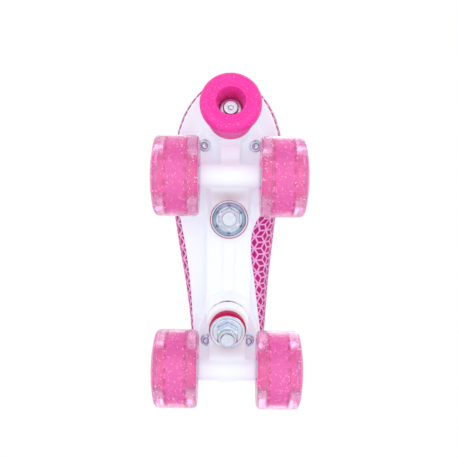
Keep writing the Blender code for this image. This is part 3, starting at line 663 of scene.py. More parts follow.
def hex_nut(name, flats, height, hole, place, paint, collar=None):
    """A hexagon nut from z = 0 up, chamfered both ways. A collar (radius, height) is its locking end."""
    steps, slope = 60, math.tan(math.radians(30))
    face = flats / 2 * 0.95

    def hexagon(radius, z, angle):
        return hexagon_radius(flats, angle) - radius if radius > face + 1e-6 else 0

    chamfer = 0.4 * MM
    mesh = turned(
        name,
        [
            (hole, 0), (face, 0), (flats / 2, chamfer), (flats / 2, height - chamfer),
            (face, height), (hole + 0.5 * MM, height), (hole, height - 0.5 * MM),
        ],
        steps, place, paint, grow=hexagon, sharp=20,
    )
    inverse = place.inverted()
    for vert in mesh.vertices:
        at = inverse @ vert.co
        reach = math.hypot(at.x, at.y) - face
        if reach > 1e-5:
            drop = reach * slope
            at.z = drop if at.z < height / 2 else height - drop
            vert.co = place @ at
    if collar:
        radius, top = collar
        profile = rounded(
            [
                (hole, height - 0.2 * MM), (radius, height - 0.2 * MM), (radius, top),
                (hole + 0.4 * MM, top), (hole, top),
            ],
            0.5 * MM,
        )
        mesh = joined(name, [mesh, turned(f"{name}_collar", profile, 48, place, paint)])
        insert = [(hole - 0.05 * MM, height), (hole + 1.1 * MM, height), (hole + 1.1 * MM, top + 0.05 * MM),
                  (hole - 0.05 * MM, top + 0.05 * MM)]
        mesh = joined(name, [mesh, turned(f"{name}_insert", insert, 48, place, "insert")])
    return mesh


def threaded_rod(name, radius, low, high, pitch, place, paint, dish=0.0):
    """A rod whose thread is a real helix, chamfered at its high end, with a shallow dish in the end face."""
    steps, per_turn = 40, 6
    depth = 0.55 * pitch
    levels = int((high - low) / pitch * per_turn)
    verts, faces = [], []
    for level in range(levels + 1):
        z = low + (high - low) * level / levels
        runout = min(1, (high - z) / (1.1 * pitch), (z - low) / (0.6 * pitch))
        for k in range(steps):
            turn = k / steps
            phase = (z / pitch - turn) % 1
            groove = depth * (1 - abs(2 * phase - 1)) * max(runout, 0)
            r = radius - groove - max(0, 0.4 * MM - (high - z))
            angle = 2 * math.pi * turn
            verts.append((r * math.cos(angle), r * math.sin(angle), z))
    for level in range(levels):
        for k in range(steps):
            n = (k + 1) % steps
            base = level * steps
            faces.append([base + k, base + n, base + steps + n, base + steps + k])
    faces.append(list(range(steps)))
    rim = levels * steps
    for inset, drop in ((0.55, dish), (0.12, dish * 0.9)):
        ring = len(verts)
        for k in range(steps):
            angle = 2 * math.pi * k / steps
            r = radius * inset
            verts.append((r * math.cos(angle), r * math.sin(angle), high - drop))
        for k in range(steps):
            n = (k + 1) % steps
            faces.append([rim + k, rim + n, ring + n, ring + k])
        rim = ring
    faces.append(list(range(rim, rim + steps)))
    return mesh_of(name, [place @ Vector(vert) for vert in verts], faces, paint, 35)


def drilled(mesh, holes):
    """The mesh with each hole's shape taken away."""
    cutters = []
    for i, hole in enumerate(holes):
        cutter = bpy.data.objects.new(f"cutter_{i}", hole)
        bpy.context.scene.collection.objects.link(cutter)
        cutters.append(cutter)
    made = applied(mesh, *[cut_by(cutter) for cutter in cutters])
    for cutter in cutters:
        bpy.data.objects.remove(cutter)
    for hole in holes:
        bpy.data.meshes.remove(hole)
    return made


def moulding(name, meshes, holes, voxel, paint, soften=6):
    """Overlapping closed shapes melted into one moulding with soft inner and outer corners, then drilled."""
    body = applied(
        joined(name, meshes),
        ("REMESH", {"mode": "VOXEL", "voxel_size": voxel, "adaptivity": 0.0}),
        ("SMOOTH", {"factor": 0.5, "iterations": soften}),
    )
    body = drilled(body, holes)
    body.materials.clear()
    body.materials.append(PAINTS[paint])
    shade(body, 50)
    return body


# ------------------------------------------------------------------------------
# Places, as in the CAD


def facing(origin, y, z):
    """A place at origin whose Z axis lies along (0, y, z)."""
    return Matrix.Translation(origin) @ Matrix.Rotation(math.atan2(-y, z), 4, "X")


def out_sign(end):
    return -1 if end == "front" else 1


def truck_point(end, out, z, x=0.0):
    return Vector((x, AXLE_Y[end] + out_sign(end) * out, z))


def kingpin_place(end):
    """Z runs up the kingpin from the underside of its lower washer."""
    lean = out_sign(end) * math.sin(KINGPIN_LEAN)
    return facing(truck_point(end, KINGPIN_OUT, KINGPIN_Z), -lean, math.cos(KINGPIN_LEAN))


def steering_place(end):
    """Z runs out and up the steering axis, from the pivot's centre."""
    pivot = truck_point(end, PIVOT_OUT, PIVOT_Z)
    return facing(pivot, out_sign(end) * math.cos(STEER_SLOPE), math.sin(STEER_SLOPE))


def stop_place():
    """Z runs down the toe stop, from its base to its face."""
    return facing(STOP_BASE, -math.sin(STOP_LEAN), -math.cos(STOP_LEAN))


def across(end, x, sign):
    """Z runs along +X or -X from a point on an axle."""
    turn = Matrix.Rotation(sign * math.pi / 2, 4, "Y")
    return Matrix.Translation(truck_point(end, 0, WHEEL_RADIUS, x)) @ turn


def side_on(end):
    """X runs out from the axle and Y up, so that a prism's thickness lies across the skate."""
    sign = out_sign(end)
    place = Matrix(((0, 0, 1, 0), (sign, 0, 0, AXLE_Y[end]), (0, 1, 0, 0), (0, 0, 0, 1)))
    return place


# ------------------------------------------------------------------------------
# Wheels


def tyre_outline():
    """Radius and place across the wheel, its outer side towards +Z. The bore hugs the core."""
    corners = mm([
        (14.9, 14.8, 0.3), (15.5, 15.4, 0.4), (17.2, 15.4, 0.4), (17.8, 14.9, 0.4), (20.0, 14.9, 1.0),
        (22.5, 14.4, 1.2), (25.3, 13.4, 1.8), (26.6, 12.0, 1.2),
        (27, 10, 1.5), (27, 0, 0.6), (27, -13.0, 1.0),
        (26.3, -15.0, 0.9), (24.8, -15.8, 0.8), (14.6, -15.8, 0.4), (14.2, -15.2, 0.2), (14.2, -8.8, 0.2),
        (17.4, -8.8, 0.2), (17.4, 7.2, 0.3), (14.9, 7.2, 0.2),
    ])
    return rounded(corners, 0, 4)


def core_outline():
    corners = mm([
        (14.6, 10.6, 0.3), (14.6, 7.3, 0.2), (17.5, 7.3, 0.5), (17.5, -8.5, 0.5), (14.0, -8.5, 0.2),
        (14.0, -15.5, 0.3), (11.0, -15.5, 0.3), (11.0, -6.9, 0),
        (6.5, -6.9, 0), (6.5, 1.7, 0), (11.0, 1.7, 0),
        (11.0, 10.6, 0.3),
    ])
    return rounded(corners, 0, 3)


def core_lugs(name, place):
    """Fifteen darker lugs round each rim of the core, where the tyre keys into it."""
    lugs = []
    for low, high in ((5.2 * MM, 7.0 * MM), (-8.3 * MM, -6.5 * MM)):
        for k in range(15):
            angles = [2 * math.pi * (k + share) / 15 for share in (0, 0.12, 0.24, 0.36, 0.48)]
            outer = [(18.3 * MM * math.cos(a), 18.3 * MM * math.sin(a)) for a in angles]
            inner = [(17.0 * MM * math.cos(a), 17.0 * MM * math.sin(a)) for a in reversed(angles)]
            lugs.append(prism("lug", outer + inner, low, high, place, "lug", 0.2 * MM))
    return joined(name, lugs)


def bearing(name, middle, place):
    """Outer race, recessed shield, snap ring and inner race of a 22 mm bearing."""
    half, outer, bore = 3.5 * MM, BEARING_RADIUS, AXLE_RADIUS + 0.1 * MM
    race = rounded(
        [
            (outer, middle + half), (outer, middle - half),
            (outer - 1.5 * MM, middle - half), (outer - 1.5 * MM, middle + half),
        ],
        0.3 * MM,
    )
    inner = rounded(
        [
            (bore + 2.2 * MM, middle + half), (bore + 2.2 * MM, middle - half),
            (bore, middle - half), (bore, middle + half),
        ],
        0.3 * MM,
    )
    low, high = middle - half + 0.5 * MM, middle + half - 0.5 * MM
    shield = [
        (outer - 1.4 * MM, high), (outer - 2.0 * MM, high), (outer - 2.4 * MM, high - 0.2 * MM),
        (bore + 2.4 * MM, high - 0.2 * MM), (bore + 2.4 * MM, low + 0.2 * MM),
        (outer - 2.4 * MM, low + 0.2 * MM),
        (outer - 2.0 * MM, low), (outer - 1.4 * MM, low),
    ]
    return joined(name, [
        turned(f"{name}_race", race, 64, place, "bearing"),
        turned(f"{name}_inner", inner, 48, place, "bearing"),
        turned(f"{name}_shield", shield, 64, place, "shield"),
    ])


def glitter(name, place, seed, count=650):
    """Hexagonal foil flakes, scattered through the clear part of a tyre."""
    rng = random.Random(seed)
    verts, faces = [], []
    while len(faces) < count:
        radius = math.sqrt(rng.uniform(18.6**2, 26.3**2)) * MM
        height = rng.uniform(-15.2, 13.6) * MM
        if height > 10 * MM and radius > 25.6 * MM - (height - 10 * MM) * 0.55:
            continue
        angle = rng.uniform(0, 2 * math.pi)
        centre = Vector((radius * math.cos(angle), radius * math.sin(angle), height))
        about_x = Matrix.Rotation(rng.uniform(0, math.pi), 3, "X")
        turn = about_x @ Matrix.Rotation(rng.uniform(0, math.pi), 3, "Y")
        size = rng.uniform(0.18, 0.34) * MM
        start = len(verts)
        for k in range(6):
            corner = Vector((size * math.cos(k * math.pi / 3), size * math.sin(k * math.pi / 3), 0))
            verts.append(place @ (centre + turn @ corner))
        faces.append(list(range(start, start + 6)))
    mesh = bpy.data.meshes.new(name)
    mesh.from_pydata([tuple(vert) for vert in verts], [], faces)
    mesh.materials.append(PAINTS["foil"])
    return mesh


def make_wheel(end, side, seed):
    sign = 1 if side == "left" else -1
    label, body = f"{end}_{side}", f"{end}_{side}_wheel"
    place = across(end, sign * WHEEL_CENTRE_X, sign)
    tyre = turned(f"{label}_clear_tyre", tyre_outline(), 120, place, "urethane", sharp=60)
    core = turned(f"{label}_core_barrel", core_outline(), 120, place, "core")
    core = joined(f"{label}_core", [core, core_lugs(f"{label}_lugs", place)])
    piece(f"{label}_clear_tyre", tyre, body, "clear_pink_urethane", f"{label}_tyre")
    piece(f"{label}_core", core, body, "hot_pink_core", f"{label}_hub")
    piece(f"{label}_glitter", glitter(f"{label}_glitter", place, seed), body, "clear_pink_urethane")
    for where, middle in (("inner", INNER_BEARING_X), ("outer", OUTER_BEARING_X)):
        mesh = bearing(f"{label}_{where}_race", middle, place)
        piece(f"{label}_{where}_race", mesh, body, "bearing_steel", f"{label}_{where}_bearing")


# ------------------------------------------------------------------------------
# Trucks


def make_axle(end):
    """A ground bar with rolled threads at both ends."""
    body = f"{end}_truck"
    place = across(end, 0, 1)
    bar = turned(
        f"{end}_bar", [(0, 44 * MM), (AXLE_RADIUS, 44 * MM), (AXLE_RADIUS, -44 * MM), (0, -44 * MM)],
        48, place, "zinc",
        closed=False,
    )
    ends = [
        threaded_rod(
            f"{end}_thread_{sign}", AXLE_RADIUS, 43 * MM, AXLE_HALF_LENGTH, 1.0 * MM,
            across(end, 0, sign), "zinc",
            dish=0.25 * MM,
        )
        for sign in (1, -1)
    ]
    axle = joined(f"{end}_threaded_axle", [bar] + ends)
    piece(f"{end}_threaded_axle", axle, body, "zinc_plated_steel", f"{end}_axle")
    for side, sign in (("left", 1), ("right", -1)):
        label = f"{end}_{side}_lock_nut"
        nut = hex_nut(
            label, 12 * MM, 4.6 * MM, AXLE_RADIUS + 0.02 * MM,
            across(end, sign * AXLE_NUT_INNER_X, sign), "zinc",
            collar=(5.4 * MM, 5.7 * MM),
        )
        piece(label, nut, body, "zinc_plated_steel", f"{end}_{side}_axle_nut")


def make_hanger(end):
    """One soft-cornered moulding: the axle tube, the arm and ring round the kingpin, and the pivot pin."""
    half, radius = HANGER_HALF_WIDTH, HANGER_TUBE_RADIUS
    side = side_on(end)
    tube = rounded([(0, half), (radius, half), (radius, -half), (0, -half)], 2.4 * MM, closed=False)
    boss = rounded(mm([(0, 21.7), (5.5, 21.7, 0.5), (5.5, -21.7, 0.5), (0, -21.7)]), 0, closed=False)
    arm = mm([
        (-16.5, 35.2), (-10, 25), (-2, 20), (4, 27), (0, 35.5),
        (-8, 40.5), (-16, 42.9), (-24, 41.3), (-24, 33.9)
    ])
    web = mm([
        (-20, 36, 1), (-9, 44.5, 2), (4, 51.2, 2), (7.2, 51.4, 1), (8.6, 43.2, 0.3), (10.4, 42.9, 0.4),
        (10.4, 40.5, 0.6), (6, 31, 2), (-6, 30, 1),
    ])
    ring = rounded(
        [(0, RING_HIGH), (14.5 * MM, RING_HIGH), (14.5 * MM, RING_LOW), (0, RING_LOW)], 1.2 * MM, closed=False
    )
    pin = rounded([(0, PIVOT_RADIUS), (PIVOT_RADIUS, PIVOT_RADIUS), (PIVOT_RADIUS, -12 * MM), (0, -12 * MM)],
                  2.9 * MM, closed=False)
    solids = [
        turned("tube", tube, 64, across(end, 0, 1), "nylon", closed=False),
        turned("boss", boss, 64, across(end, 0, 1), "nylon", closed=False),
        prism("arm", rounded(arm, 2.5 * MM), -13 * MM, 13 * MM, side, "nylon", 0.8 * MM),
        prism("web", rounded(web, 1.2 * MM), -7 * MM, 7 * MM, side, "nylon", 0.8 * MM),
        turned("ring", ring, 64, kingpin_place(end), "nylon", closed=False),
        turned("pin", pin, 32, steering_place(end), "nylon", closed=False),
    ]
    low, high = RING_LOW - 8 * MM, RING_HIGH + 8 * MM
    hole = [(0, low), (6.2 * MM, low), (6.2 * MM, high), (0, high)]
    bore_radius, bore_half = AXLE_RADIUS + 0.2 * MM, 30 * MM
    bore = [(0, bore_half), (bore_radius, bore_half), (bore_radius, -bore_half), (0, -bore_half)]
    holes = [
        turned("ring_hole", hole, 48, kingpin_place(end), "nylon", closed=False),
        turned("bore", bore, 48, across(end, 0, 1), "nylon", closed=False),
    ]
    mesh = moulding(f"{end}_moulded_hanger", solids, holes, 0.6 * MM, "nylon")
    piece(f"{end}_moulded_hanger", mesh, f"{end}_truck", "white_nylon", f"{end}_hanger")


def make_kingpin(end):
    """A bolt through the cushions, with its lock nut below and its rolled thread showing past the nut."""
    place = kingpin_place(end)
    down = place @ Matrix.Rotation(math.pi, 4, "X")
    r = KINGPIN_RADIUS
    head_low, head_high = 36.3 * MM, 40.3 * MM
    shank = rounded(
        [(0, head_high), (7.4 * MM, head_high, 0.6 * MM),
         (7.4 * MM, head_low, 0.3 * MM), (r, head_low, 0.3 * MM),
         (r, 1 * MM), (0, 1 * MM)],
        0, closed=False,
    )
    rod = joined(f"{end}_kingpin_bolt", [
        turned("shank", shank, 48, place, "zinc", closed=False),
        threaded_rod("thread", r, -1.5 * MM, 10.8 * MM, 1.25 * MM, down, "zinc", dish=0.1 * MM),
    ])
    piece(f"{end}_kingpin_bolt", rod, ROOT, "zinc_plated_steel", f"{end}_kingpin")
    under = down @ Matrix.Translation((0, 0, GAP))
    nut = hex_nut(
        f"{end}_kingpin_lock_nut", 14 * MM, 6.2 * MM, r + 0.02 * MM, under,
        "zinc", collar=(6.3 * MM, 9.4 * MM)
    )
    piece(f"{end}_kingpin_lock_nut", nut, ROOT, "zinc_plated_steel", f"{end}_kingpin_nut")


def make_washers(end):
    """The front lower washer is a dished cup with a rolled rim; the rear one is flat with a coined ring."""
    place = kingpin_place(end)
    hole = KINGPIN_RADIUS + 0.15 * MM
    if end == "front":
        corners = mm([
            (8.0, 1.8, 0.8), (10.9, -0.4, 0.6), (11.9, -1.1, 0.5), (12.3, -1.7, 0.4), (12.3, -2.5, 0.3),
            (11.7, -2.7, 0.3), (10.8, -2.2, 0.5), (8.7, 0.0, 0.9),
        ])
    else:
        corners = mm([
            (11.9, 1.8, 0.3), (12.25, 1.4, 0.2), (12.25, 0.4, 0.3),
            (11.8, 0.0, 0.3), (10.6, 0.0, 0.2), (10.3, 0.18, 0.2),
            (9.9, 0.18, 0.2), (9.6, 0.0, 0.2),
        ])
    inner = [(hole, 0, 0.2 * MM), (hole, 1.8 * MM, 0.2 * MM)]
    lower = turned(f"{end}_kingpin_washer", rounded(corners + inner, 0, 3), 96, place, "zinc")
    piece(f"{end}_kingpin_washer", lower, ROOT, "zinc_plated_steel", f"{end}_lower_washer")
    low, high = SEAT_HEIGHT - 1.6 * MM, SEAT_HEIGHT - GAP
    flat = rounded([(11.5 * MM, high), (11.5 * MM, low), (hole, low), (hole, high)], 0.3 * MM)
    upper = turned(f"{end}_seat_washer", flat, 72, place, "zinc")
    piece(f"{end}_seat_washer", upper, ROOT, "zinc_plated_steel", f"{end}_upper_washer")


def make_cushions(end):
    """Barrel and cone cushions, each between its washer on the chassis and its ring on the hanger."""
    place = kingpin_place(end)
    hole = KINGPIN_RADIUS + 0.2 * MM
    shapes = {
        "lower": [(hole, 2.0), (12.4, 2.0, 0.9), (13.0, 4.2, 1.6),
                  (12.6, 6.8, 2.0), (12.2, 9.4, 1.6), (11.4, 11.5, 0.8)],
        "upper": [(hole, 20.1), (12.2, 20.1, 0.9), (12.5, 23.5, 1.6), (11.6, 27.5, 1.6), (10.9, 29.8, 0.8)],
    }
    for where, corners in shapes.items():
        rows = [
            (row[0] if i == 0 else row[0] * MM, *(value * MM for value in row[1:]))
            for i, row in enumerate(corners)
        ]
        rows.append((hole, rows[-1][1]))
        name = f"{end}_{where}_barrel"
        mesh = turned(name, rounded(rows, 0, 5), 72, place, "cushion", sharp=50)
        obj = bpy.data.objects.new(name, mesh)
        bpy.context.scene.collection.objects.link(obj)
        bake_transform(obj)
        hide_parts(f"{end}_{where}_cushion")


def make_pivot_cup(end):
    corners = mm([
        (0, 4.6), (4.65, 4.6, 0.6), (4.65, -3.2, 0.2), (5.2, -3.2, 0.3), (5.2, -4.1, 0.4), (3.6, -4.1, 0.4),
        (3.6, 2.2, 0.5), (0, 3.9),
    ])
    name = f"{end}_pivot_cup_rubber"
    outline = rounded(corners, 0, 4, closed=False)
    mesh = turned(name, outline, 56, steering_place(end), "cushion", closed=False)
    piece(name, mesh, ROOT, "crimson_urethane", f"{end}_pivot_cup")


# ------------------------------------------------------------------------------
# Chassis and toe stop


def catmull(rows, t):
    """The row at place t along a list of rows, on a smooth curve through them."""
    last = len(rows) - 1
    i = min(int(t), last - 1)
    f = t - i
    a, b, c, d = (rows[min(max(k, 0), last)] for k in (i - 1, i, i + 1, i + 2))
    return [
        0.5 * (2 * q + (r - p) * f + (2 * p - 5 * q + 4 * r - s) * f**2 + (3 * q - p - 3 * r + s) * f**3)
        for p, q, r, s in zip(a, b, c, d)
    ]


def plate_outline():
    """Half of the chassis as (y, half width), mirrored to the other side, on a smooth curve."""
    rows = [
        (-101, 9), (-95, 14.5), (-88, 18), (-79, 20), (-73, 23.2), (-66, 24.2), (-59, 23.6), (-51, 21),
        (-34, 18), (-12, 16.4), (20, 16), (50, 16.4), (62, 19), (70, 21.8), (80, 22.2), (90, 20.8), (99, 15),
    ]
    steps = 96
    half = [catmull(rows, (len(rows) - 1) * i / steps) for i in range(steps + 1)]
    return [(x * MM, y * MM) for y, x in half] + [(-x * MM, y * MM) for y, x in reversed(half)]


def seat_wall(end):
    """Half a collar round the upper cushion, on the side away from the axle."""
    turns = [-out_sign(end) * math.pi * k / 24 for k in range(25)]
    outer = [(15.2 * MM * math.cos(turn), 15.2 * MM * math.sin(turn)) for turn in turns]
    inner = [(12.9 * MM * math.cos(turn), 12.9 * MM * math.sin(turn)) for turn in reversed(turns)]
    return outer + inner


def make_plate():
    """One moulding: a slab, a deeper ribbed body, kingpin seats, pivot housings and the toe stop's nose."""
    here = Matrix()
    body = rounded(mm([(-16, -24), (16, -24), (16, 60), (-16, 60)]), 3 * MM)
    rib = rounded(mm([(-4, -12), (4, -12), (4, 50), (-4, 50)]), 2 * MM)
    nose = rounded(mm([(0, -0.3), (15.6, -0.3, 1.2), (15.6, -30), (0, -30)]), 0, closed=False)
    housing = mm([(9.4, 44.4), (9.4, 60), (26, 60), (26, 53), (19, 46.5)])
    rear_housing = mm([(9.4, 45), (9.4, 60), (19, 60), (19, 50), (16, 46.6)])
    solids = [
        prism("slab", plate_outline(), PLATE_LOW, PLATE_HIGH + 2 * MM, here, "nylon"),
        prism("body", body, 55 * MM, 60 * MM, here, "nylon", 0.9 * MM),
        prism("rib", rib, 53.6 * MM, 58 * MM, here, "nylon", 0.5 * MM),
        turned("nose", nose, 72, stop_place(), "nylon", closed=False),
    ]
    holes = []
    for end in ENDS:
        place = kingpin_place(end)
        low = SEAT_HEIGHT
        seat = rounded(
            [(0, low), (13.4 * MM, low, 0.8 * MM), (13.4 * MM, low + 9 * MM), (0, low + 9 * MM)],
            0, closed=False
        )
        solids.append(prism(f"{end}_wall", seat_wall(end), 22.6 * MM, 39 * MM, place, "nylon", 0.5 * MM))
        solids.append(turned(f"{end}_seat", seat, 64, place, "nylon", closed=False))
        outline = rounded(housing if end == "front" else rear_housing, 1.5 * MM)
        solids.append(prism(f"{end}_housing", outline, -7.2 * MM, 7.2 * MM, side_on(end), "nylon", 0.8 * MM))
        holes.append(rod(KINGPIN_RADIUS + 0.25 * MM, SEAT_HEIGHT - 2 * MM, 60 * MM, place))
        holes.append(rod(8 * MM, 36 * MM, 60 * MM, place))
        holes.append(rod(5 * MM, -12 * MM, 5 * MM, steering_place(end)))
    for x, y in PLATE_BOLTS.values():
        for sign in (-1, 1):
            holes.append(rod(2.3 * MM, 50 * MM, 70 * MM, Matrix.Translation((sign * x, y, 0))))
    holes.append(rod(3.5 * MM, -9 * MM, 5 * MM, stop_place()))
    above = mm([(-40, -130), (40, -130), (40, 130), (-40, 130)])
    holes.append(prism("above", above, PLATE_HIGH, 100 * MM, here, "nylon"))
    mesh = moulding("moulded_chassis", solids, holes, 0.8 * MM, "nylon", 5)
    piece("moulded_chassis", mesh, ROOT, "white_nylon", "plate")


def rod(radius, low, high, place):
    """A cutter."""
    outline = [(0, low), (radius, low), (radius, high), (0, high)]
    return turned("rod", outline, 40, place, "nylon", closed=False)


def make_plate_bolt(end, side):
    """A bolt let into the top of the sole, with a flanged nut below and its thread showing."""
    x, y = PLATE_BOLTS[end]
    x = x if side == "left" else -x
    label = f"{end}_{side}"
    place = Matrix.Translation((x, y, 0))
    upside_down = place @ Matrix.Rotation(math.pi, 4, "X")
    shank = rounded(
        mm([(0, 69.7), (5, 69.7, 0.4), (5, 68.2, 0.3), (2, 68.2, 0.2), (2, 60), (0, 60)]), 0, closed=False
    )
    bolt = joined(f"{label}_sole_bolt", [
        turned("shank", shank, 40, place, "zinc", closed=False),
        threaded_rod("thread", 2 * MM, -61 * MM, -53.8 * MM, 0.7 * MM, upside_down, "zinc", dish=0.2 * MM),
    ])
    piece(f"{label}_sole_bolt", bolt, ROOT, "zinc_plated_steel", f"{label}_plate_bolt")
    under = upside_down @ Matrix.Translation((0, 0, 0.3 * MM - PLATE_LOW))
    flange = rounded(
        mm([(2.05, 0), (4.4, 0, 0.3), (4.4, 0.8, 0.4), (3.4, 1.3, 0.4), (2.05, 1.3)]), 0, 4
    )
    nut = joined(f"{label}_flange_nut", [
        hex_nut("hexagon", 7 * MM, 3.5 * MM, 2.03 * MM, under, "zinc"),
        turned("flange", flange, 56, under, "zinc"),
    ])
    piece(f"{label}_flange_nut", nut, ROOT, "zinc_plated_steel", f"{label}_plate_nut")


def make_toe_stop():
    """A rubber stop with a rounded rim, faint turned rings on its face and a conical recess for its bolt."""
    place = stop_place()
    top = STOP_HEIGHT
    corners = [(9.7 * MM, top, 1.0 * MM)]
    for radius in (11.6, 13.1, 14.7):
        corners += [
            (radius * MM - 0.5 * MM, top, 0.15 * MM), (radius * MM - 0.25 * MM, top - 0.28 * MM, 0.1 * MM),
            (radius * MM + 0.25 * MM, top - 0.28 * MM, 0.1 * MM), (radius * MM + 0.5 * MM, top, 0.15 * MM),
        ]
    corners += [
        (17.6 * MM, top, 2.0 * MM), (20.2 * MM, top - 2.2 * MM, 2.2 * MM),
        (20.8 * MM, top - 6.5 * MM, 3.0 * MM),
        (19.7 * MM, top - 11 * MM, 4 * MM), (16.9 * MM, 14 * MM, 6 * MM), (16.2 * MM, 6 * MM, 2 * MM),
        (16.0 * MM, 0, 0.8 * MM), (3.6 * MM, 0, 0), (3.6 * MM, 14.5 * MM, 0), (8.0 * MM, 14.5 * MM, 0.8 * MM),
        (8.6 * MM, top - 5 * MM, 3 * MM),
    ]
    stop = turned("toe_stop_rubber", rounded(corners, 0, 5), 144, place, "stop", sharp=70)
    piece("toe_stop_rubber", stop, ROOT, "pink_rubber", "toe_stop")
    flat = rounded(mm([(7.3, 16.2), (7.3, 14.8), (3.5, 14.8), (3.5, 16.2)]), 0.3 * MM)
    washer = turned("toe_stop_flat_washer", flat, 72, place, "zinc")
    piece("toe_stop_flat_washer", washer, ROOT, "zinc_plated_steel", "toe_stop_washer")
    make_stop_bolt(place)


def make_stop_bolt(place):
    """A cap screw whose socket is a real six-sided hole."""
    steps = 60
    corners = mm([
        (5.2, 16.5, 0.2), (5.2, 19.6, 0.7), (4.6, 20.2, 0.3),
        (2.0, 20.2, 0.1), (1.7, 20.0, 0), (1.7, 18.2, 0),
        (0, 17.8, 0),
    ])
    shank = mm([(0, -8.5, 0), (3.1, -8.5, 0.4), (3.1, 16.5, 0)])

    def socket(radius, height, angle):
        inside = 0.5 * MM < radius < 1.75 * MM and height > 18 * MM
        return hexagon_radius(3.0 * MM, angle) - radius if inside else 0

    profile = rounded(shank + corners, 0, 4, closed=False)
    bolt = turned("toe_stop_cap_screw", profile, steps, place, "zinc", closed=False, grow=socket, sharp=30)
    piece("toe_stop_cap_screw", bolt, ROOT, "zinc_plated_steel", "toe_stop_bolt")


# ------------------------------------------------------------------------------
# Boot


def sole_half(y, side):
    """Half width of the sole at y: side 0 is the outer side, 1 the arch side."""
    if y <= TOE_CENTRE:
        reach = min((TOE_CENTRE - y) / (TOE_CENTRE - TOE_TIP), 1)
        return SOLE_SIDES[0][1 + side] * MM * (1 - reach**TOE_POWER) ** (1 / TOE_POWER)
    if y >= HEEL_CENTRE:
        reach = min((y - HEEL_CENTRE) / (HEEL_TIP - HEEL_CENTRE), 1)
        return SOLE_SIDES[-1][1 + side] * MM * (1 - reach**HEEL_POWER) ** (1 / HEEL_POWER)
    stations = [row[0] * MM for row in SOLE_SIDES]
    i = max(k for k, station in enumerate(stations) if station <= y)
    i = min(i, len(stations) - 2)
    f = (y - stations[i]) / (stations[i + 1] - stations[i])
    return catmull([row[1:] for row in SOLE_SIDES], i + f)[side] * MM


def sole_outline(steps):
    """The sole's edge from the toe, down the outer side to the heel and back; i and steps - i share a y."""
    middle, half = (TOE_TIP + HEEL_TIP) / 2, (HEEL_TIP - TOE_TIP) / 2
    points = []
    for i in range(steps):
        turn = 2 * math.pi * i / steps
        y = middle - half * math.cos(turn)
        side = 0 if math.sin(turn) > 0 else 1
        x = sole_half(y, side) if i not in (0, steps // 2) else 0
        points.append(Vector((x * (-1 if side == 0 else 1), y)))
    return points


def inset(points, distance):
    """A closed outline moved inwards."""
    count = len(points)
    made = []
    for i, point in enumerate(points):
        along = points[(i + 1) % count] - points[i - 1]
        made.append(point + Vector((along.y, -along.x)).normalized() * distance)
    return made


def smooth_step(value, low, high):
    t = min(max((value - low) / (high - low), 0), 1)
    return t * t * (3 - 2 * t)


def sole_bottom(y):
    """The waist is thinner, so that the sole has a heel."""
    waist = smooth_step(y, -20 * MM, -10 * MM) * (1 - smooth_step(y, 56 * MM, 60 * MM))
    return SOLE_LOW + (WAIST_LOW - SOLE_LOW) * waist


def make_outsole():
    """The sole unit, its wall with a stitched groove, rounded top and bottom edges and a stepped heel."""
    steps = 288
    edge = sole_outline(steps)
    rings = []
    for depth, height in (
        (3.5, None), (1.6, None), (0.7, 0.25), (0.2, 0.8), (0.0, 1.5),
    ):
        ring = inset(edge, depth * MM)
        rings.append([(p.x, p.y, sole_bottom(p.y) + (height or 0) * MM) for p in ring])
    for depth, height in (
        (0.0, 68.05), (0.45, 68.25), (0.55, 68.45), (0.45, 68.65),
        (0.0, 68.85), (0.0, 69.5), (0.3, 69.9), (1.2, 70.0),
        (3.5, 70.0),
    ):
        ring = inset(edge, depth * MM)
        rings.append([(p.x, p.y, height * MM) for p in ring])
    verts = [vert for ring in rings for vert in ring]
    faces = []
    for level in range(len(rings) - 1):
        base = level * steps
        for k in range(steps):
            n = (k + 1) % steps
            faces.append([base + k, base + n, base + steps + n, base + steps + k])
    for base in (0, (len(rings) - 1) * steps):
        faces.append([base, base + 1, base + steps - 1])
        for k in range(1, steps // 2 - 1):
            faces.append([base + k, base + k + 1, base + steps - k - 1, base + steps - k])
        half = steps // 2
        faces.append([base + half - 1, base + half, base + half + 1])
    mesh = mesh_of("moulded_outsole", verts, faces, "sole", 45)
    holes = []
    for x, y in PLATE_BOLTS.values():
        for sign in (-1, 1):
            place = Matrix.Translation((sign * x, y, 0))
            holes.append(rod(2.3 * MM, 60 * MM, 75 * MM, place))
            holes.append(rod(5.4 * MM, 67.8 * MM, 75 * MM, place))
    piece("moulded_outsole", drilled(mesh, holes), ROOT, "white_outsole", "outsole")
    welt = [(Vector((p.x, p.y, 68.45 * MM)), outward(edge, i)) for i, p in enumerate(inset(edge, 0.35 * MM))]
    stitched = stitch_run("sole_stitching", [welt + welt[:1]], 0.34 * MM, 3.0 * MM, 0.9 * MM, "white_thread")
    piece("sole_stitching", stitched, ROOT, "white_outsole")


def outward(points, i):
    along = points[(i + 1) % len(points)] - points[i - 1]
    return Vector((-along.y, along.x, 0)).normalized()


